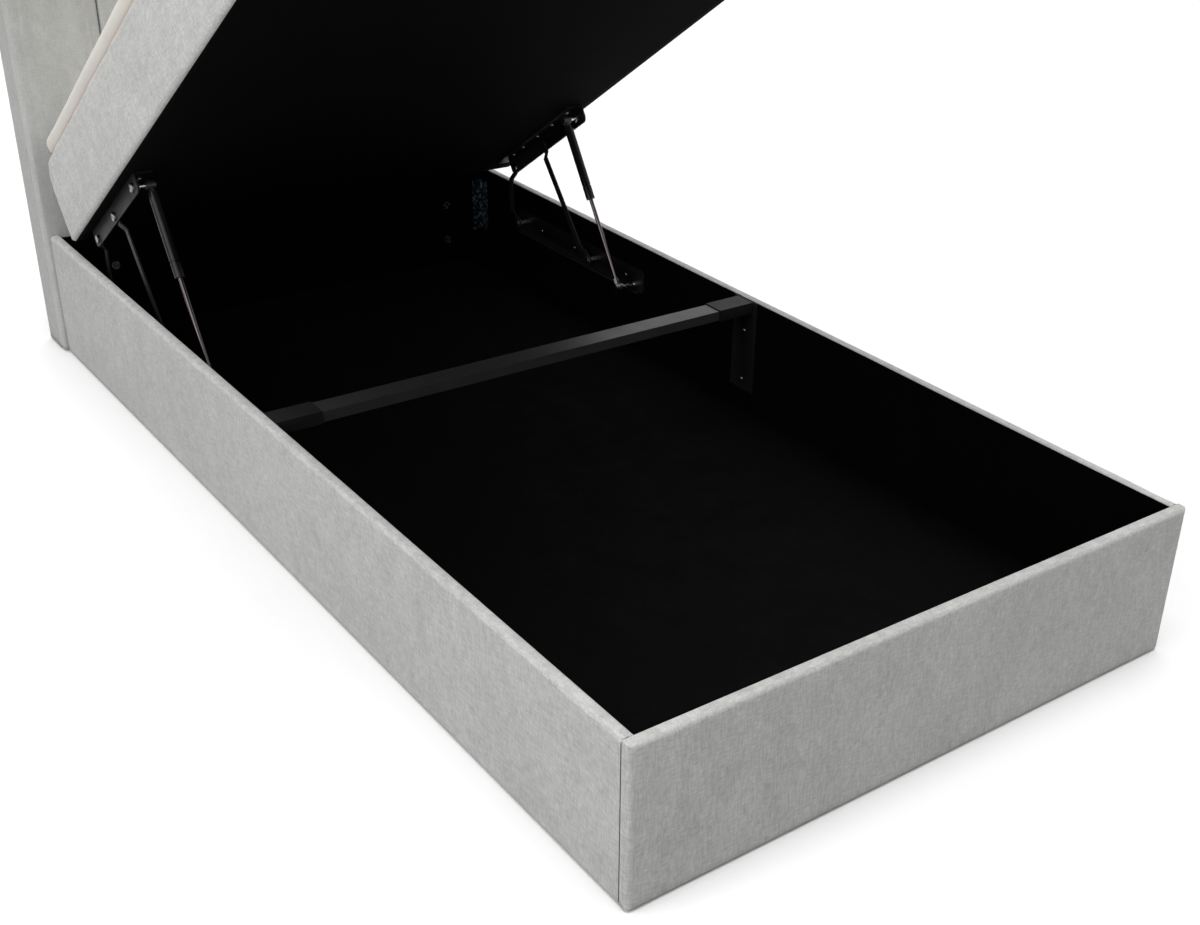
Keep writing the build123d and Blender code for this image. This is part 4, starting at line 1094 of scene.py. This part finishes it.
def mattress():
    lo, hi = lid_extent("lid_cover")
    half_x, half_y, height = (hi.x - lo.x) / 2, (hi.y - lo.y) / 2, hi.z
    bulge, shoulder, lower, lap = 0.003, 0.016, 0.008, 0.012
    profile = [(lap + bulge, 0.0), (lower + bulge, 0.0)]
    profile += [(bulge + lower - x, z) for x, z in arc(0, lower, lower, -90, 0, 4)][1:]
    side_top = height - shoulder
    for z in spread(lower, side_top, 0.009)[1:]:
        t = (z - lower) / (side_top - lower)
        profile.append((bulge * (2 * t - 1) ** 2, z))
    profile += [(bulge + shoulder - x, z) for x, z in arc(0, side_top, shoulder, 0, 90, 9)][1:]
    profile += [(inset, height) for inset in (0.028, 0.045, 0.08, 0.12, 0.2, 0.32)]
    obj = ring_block("lid_mattress", half_x, half_y, 0.013, profile, False)
    centre_y = (hi.y + lo.y) / 2
    for v in obj.data.vertices:
        v.co.y += centre_y

    def amount(p):
        if p.z < 0.002:
            return 0.0
        y = p.y - centre_y
        flat = min(1.0, max(0.0, (0.06 - min(half_x - abs(p.x), half_y - abs(y))) / 0.02))
        soft = wave(p, (0.2, 0.2, 0.14), 4.4)
        folds = wave((p.x + 0.5 * p.z, p.y + 0.5 * p.z, p.z * 0.4), (0.045, 0.045, 0.12), 9.2)
        near_head = max(0.0, 1 - (half_y - y) / 0.5)
        near_foot = max(0.0, 1 - (half_y + y) / 0.3)
        fade = min(1.0, p.z / 0.02)
        creases = wave((p.x + 0.8 * p.z, p.y - 0.75 * p.z, p.z * 0.3), (0.022, 0.022, 0.1), 1.3)
        wrinkle = 0.0007 + 0.0016 * near_head + 0.0008 * near_foot
        return flat * fade * (0.0009 * soft + wrinkle * folds + 0.0013 * near_head * creases - 0.0010)

    displace(obj, amount)
    paint(obj, "lid")
    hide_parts("lid_cover", "lid_foam", "lid_spring_core")
    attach(obj, "lid")


def lid_sheet():
    lo, hi = lid_extent("lid_underside_cloth")
    proud = Vector((0.0015, 0.0015, 0.0))
    lo, hi = lo - proud, hi + proud
    rows = []
    for y in spread(lo.y, hi.y, SHEET_STEP):
        row = []
        for x in spread(lo.x, hi.x, SHEET_STEP):
            edge = min(x - lo.x, hi.x - x, y - lo.y, hi.y - y)
            slack = min(1.0, edge / 0.1)
            z = -0.0002 + 0.0009 * slack * (0.5 + 0.5 * noise.noise(Vector((x * 6, y * 4, 7.0))))
            row.append((x, y, z))
        rows.append(row)
    bm = bmesh.new()
    add_grid(bm, rows)
    reverse_if(next(iter(bm.faces)).normal.z > 0, bm)
    obj = from_bmesh("lid_under_sheet", bm, LID)
    solidify(obj, BLACK_CLOTH)
    paint(obj, "black_cloth")
    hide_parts("lid_underside_cloth")
    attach(obj, "lid")


def topper():
    lo, hi = lid_extent("topper_cover")
    half_x, half_y = (hi.x - lo.x) / 2, (hi.y - lo.y) / 2
    base, height = lo.z, hi.z - lo.z
    lower, shoulder, crown, bulge = 0.012, 0.014, 0.004, 0.001
    low_edge = [(lower + bulge - x, z) for x, z in arc(0, lower, lower, -90, 0, 5)]
    side = [(bulge * 0.2, (lower + height - crown - shoulder) / 2)]
    high_edge = [(shoulder + bulge - x, z) for x, z in arc(0, height - crown - shoulder, shoulder, 0, 90, 6)]
    profile = [(0.06, 0.0)] + low_edge + side + high_edge
    for inset in (0.024, 0.036, 0.05, 0.07, 0.1, 0.14, 0.19, 0.25, 0.32, 0.4):
        rise = 1 - (1 - (inset - shoulder) / (half_x - shoulder)) ** 2
        profile.append((inset, height - crown + crown * rise))
    profile = [(inset, z + base) for inset, z in profile]
    obj = ring_block("topper_pad", half_x, half_y, 0.018, profile, True)
    centre_y = (hi.y + lo.y) / 2
    for v in obj.data.vertices:
        v.co.y += centre_y

    def amount(p):
        if p.z < base + 0.002:
            return 0.0
        soft = wave(p, (0.13, 0.13, 0.1), 3.3)
        small = wave(p, (0.05, 0.05, 0.03), 5.1)
        fade = min(1.0, (p.z - base) / 0.012)
        return fade * (0.0011 * soft + 0.0005 * small - 0.0011)

    displace(obj, amount)
    paint(obj, "topper")
    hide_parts("topper_cover", "topper_core")
    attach(obj, "lid")


mattress()
lid_sheet()
topper()


# Bolt heads

def button_head(bm, place, towards, radius, height):
    """A domed head with a hexagon socket. It stands on place and points towards."""
    turn = Vector(towards).to_track_quat("Z", "Y").to_matrix().to_4x4()
    turn = Matrix.Translation(place) @ turn
    socket = 0.36 * radius
    outline = [
        (1.0, 0.0), (1.0, height - 0.0022), (0.975, height - 0.0015), (0.9, height - 0.0008),
        (0.77, height - 0.0003), (0.62, height),
    ]
    rows = []
    for share, z in outline:
        rows.append([(share * radius, z)] * 24)
    for z in (height, height - 0.0016):
        rows.append([(socket / math.cos(math.radians((15 * k + 30) % 60 - 30)), z) for k in range(24)])
    rings = []
    for row in rows:
        ring = []
        for k, (r, z) in enumerate(row):
            a = math.radians(15 * k)
            ring.append(turn @ Vector((r * math.cos(a), r * math.sin(a), z)))
        rings.append(ring)
    made = add_grid(bm, rings, wrap=True)
    bm.faces.new(made[-1])
    bm.faces.new(list(reversed(made[0])))


def bolt_heads(name, heads, body, stands_for=None):
    bm = bmesh.new()
    for place, towards, radius, height in heads:
        button_head(bm, place, towards, radius, height)
    bmesh.ops.recalc_face_normals(bm, faces=bm.faces)
    obj = from_bmesh(name, bm)
    obj.data.set_sharp_from_angle(angle=math.radians(38))
    paint(obj, "zinc_dark")
    if stands_for:
        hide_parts(stands_for)
    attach(obj, body)


def all_bolt_heads():
    heads = []
    for part in islands("side_wall_bolts"):
        lo, hi = extent(part)
        side = math.copysign(1, lo.x)
        outer = max(abs(lo.x), abs(hi.x))
        place = Vector((side * outer, (lo.y + hi.y) / 2, (lo.z + hi.z) / 2))
        heads.append((place, (-side, 0, 0), (hi.y - lo.y) / 2, hi.x - lo.x))
    bolt_heads("wall_bolt_heads", heads, "base", "side_wall_bolts")

    heads = []
    down = LID.to_3x3() @ Vector((0, 0, -1))
    for part in islands("lid_bracket_bolts"):
        lo, hi = extent(part, LID)
        place = LID @ Vector(((lo.x + hi.x) / 2, (lo.y + hi.y) / 2, hi.z))
        heads.append((place, down, (hi.x - lo.x) / 2, hi.z - lo.z))
    bolt_heads("lid_bracket_bolt_heads", heads, "lid", "lid_bracket_bolts")

    heads = []
    for part in islands("lid_pivot_bolts"):
        if len(part) > 40:
            continue
        lo, hi = extent(part)
        side = math.copysign(1, lo.x)
        inner = min(abs(lo.x), abs(hi.x))
        place = Vector((side * inner, (lo.y + hi.y) / 2, (lo.z + hi.z) / 2))
        heads.append((place, (side, 0, 0), (hi.z - lo.z) / 2 * 1.06, hi.x - lo.x + 0.0006))
    bolt_heads("lid_pivot_bolt_heads", heads, "lid")


all_bolt_heads()


scene.view_settings.view_transform = "Standard"
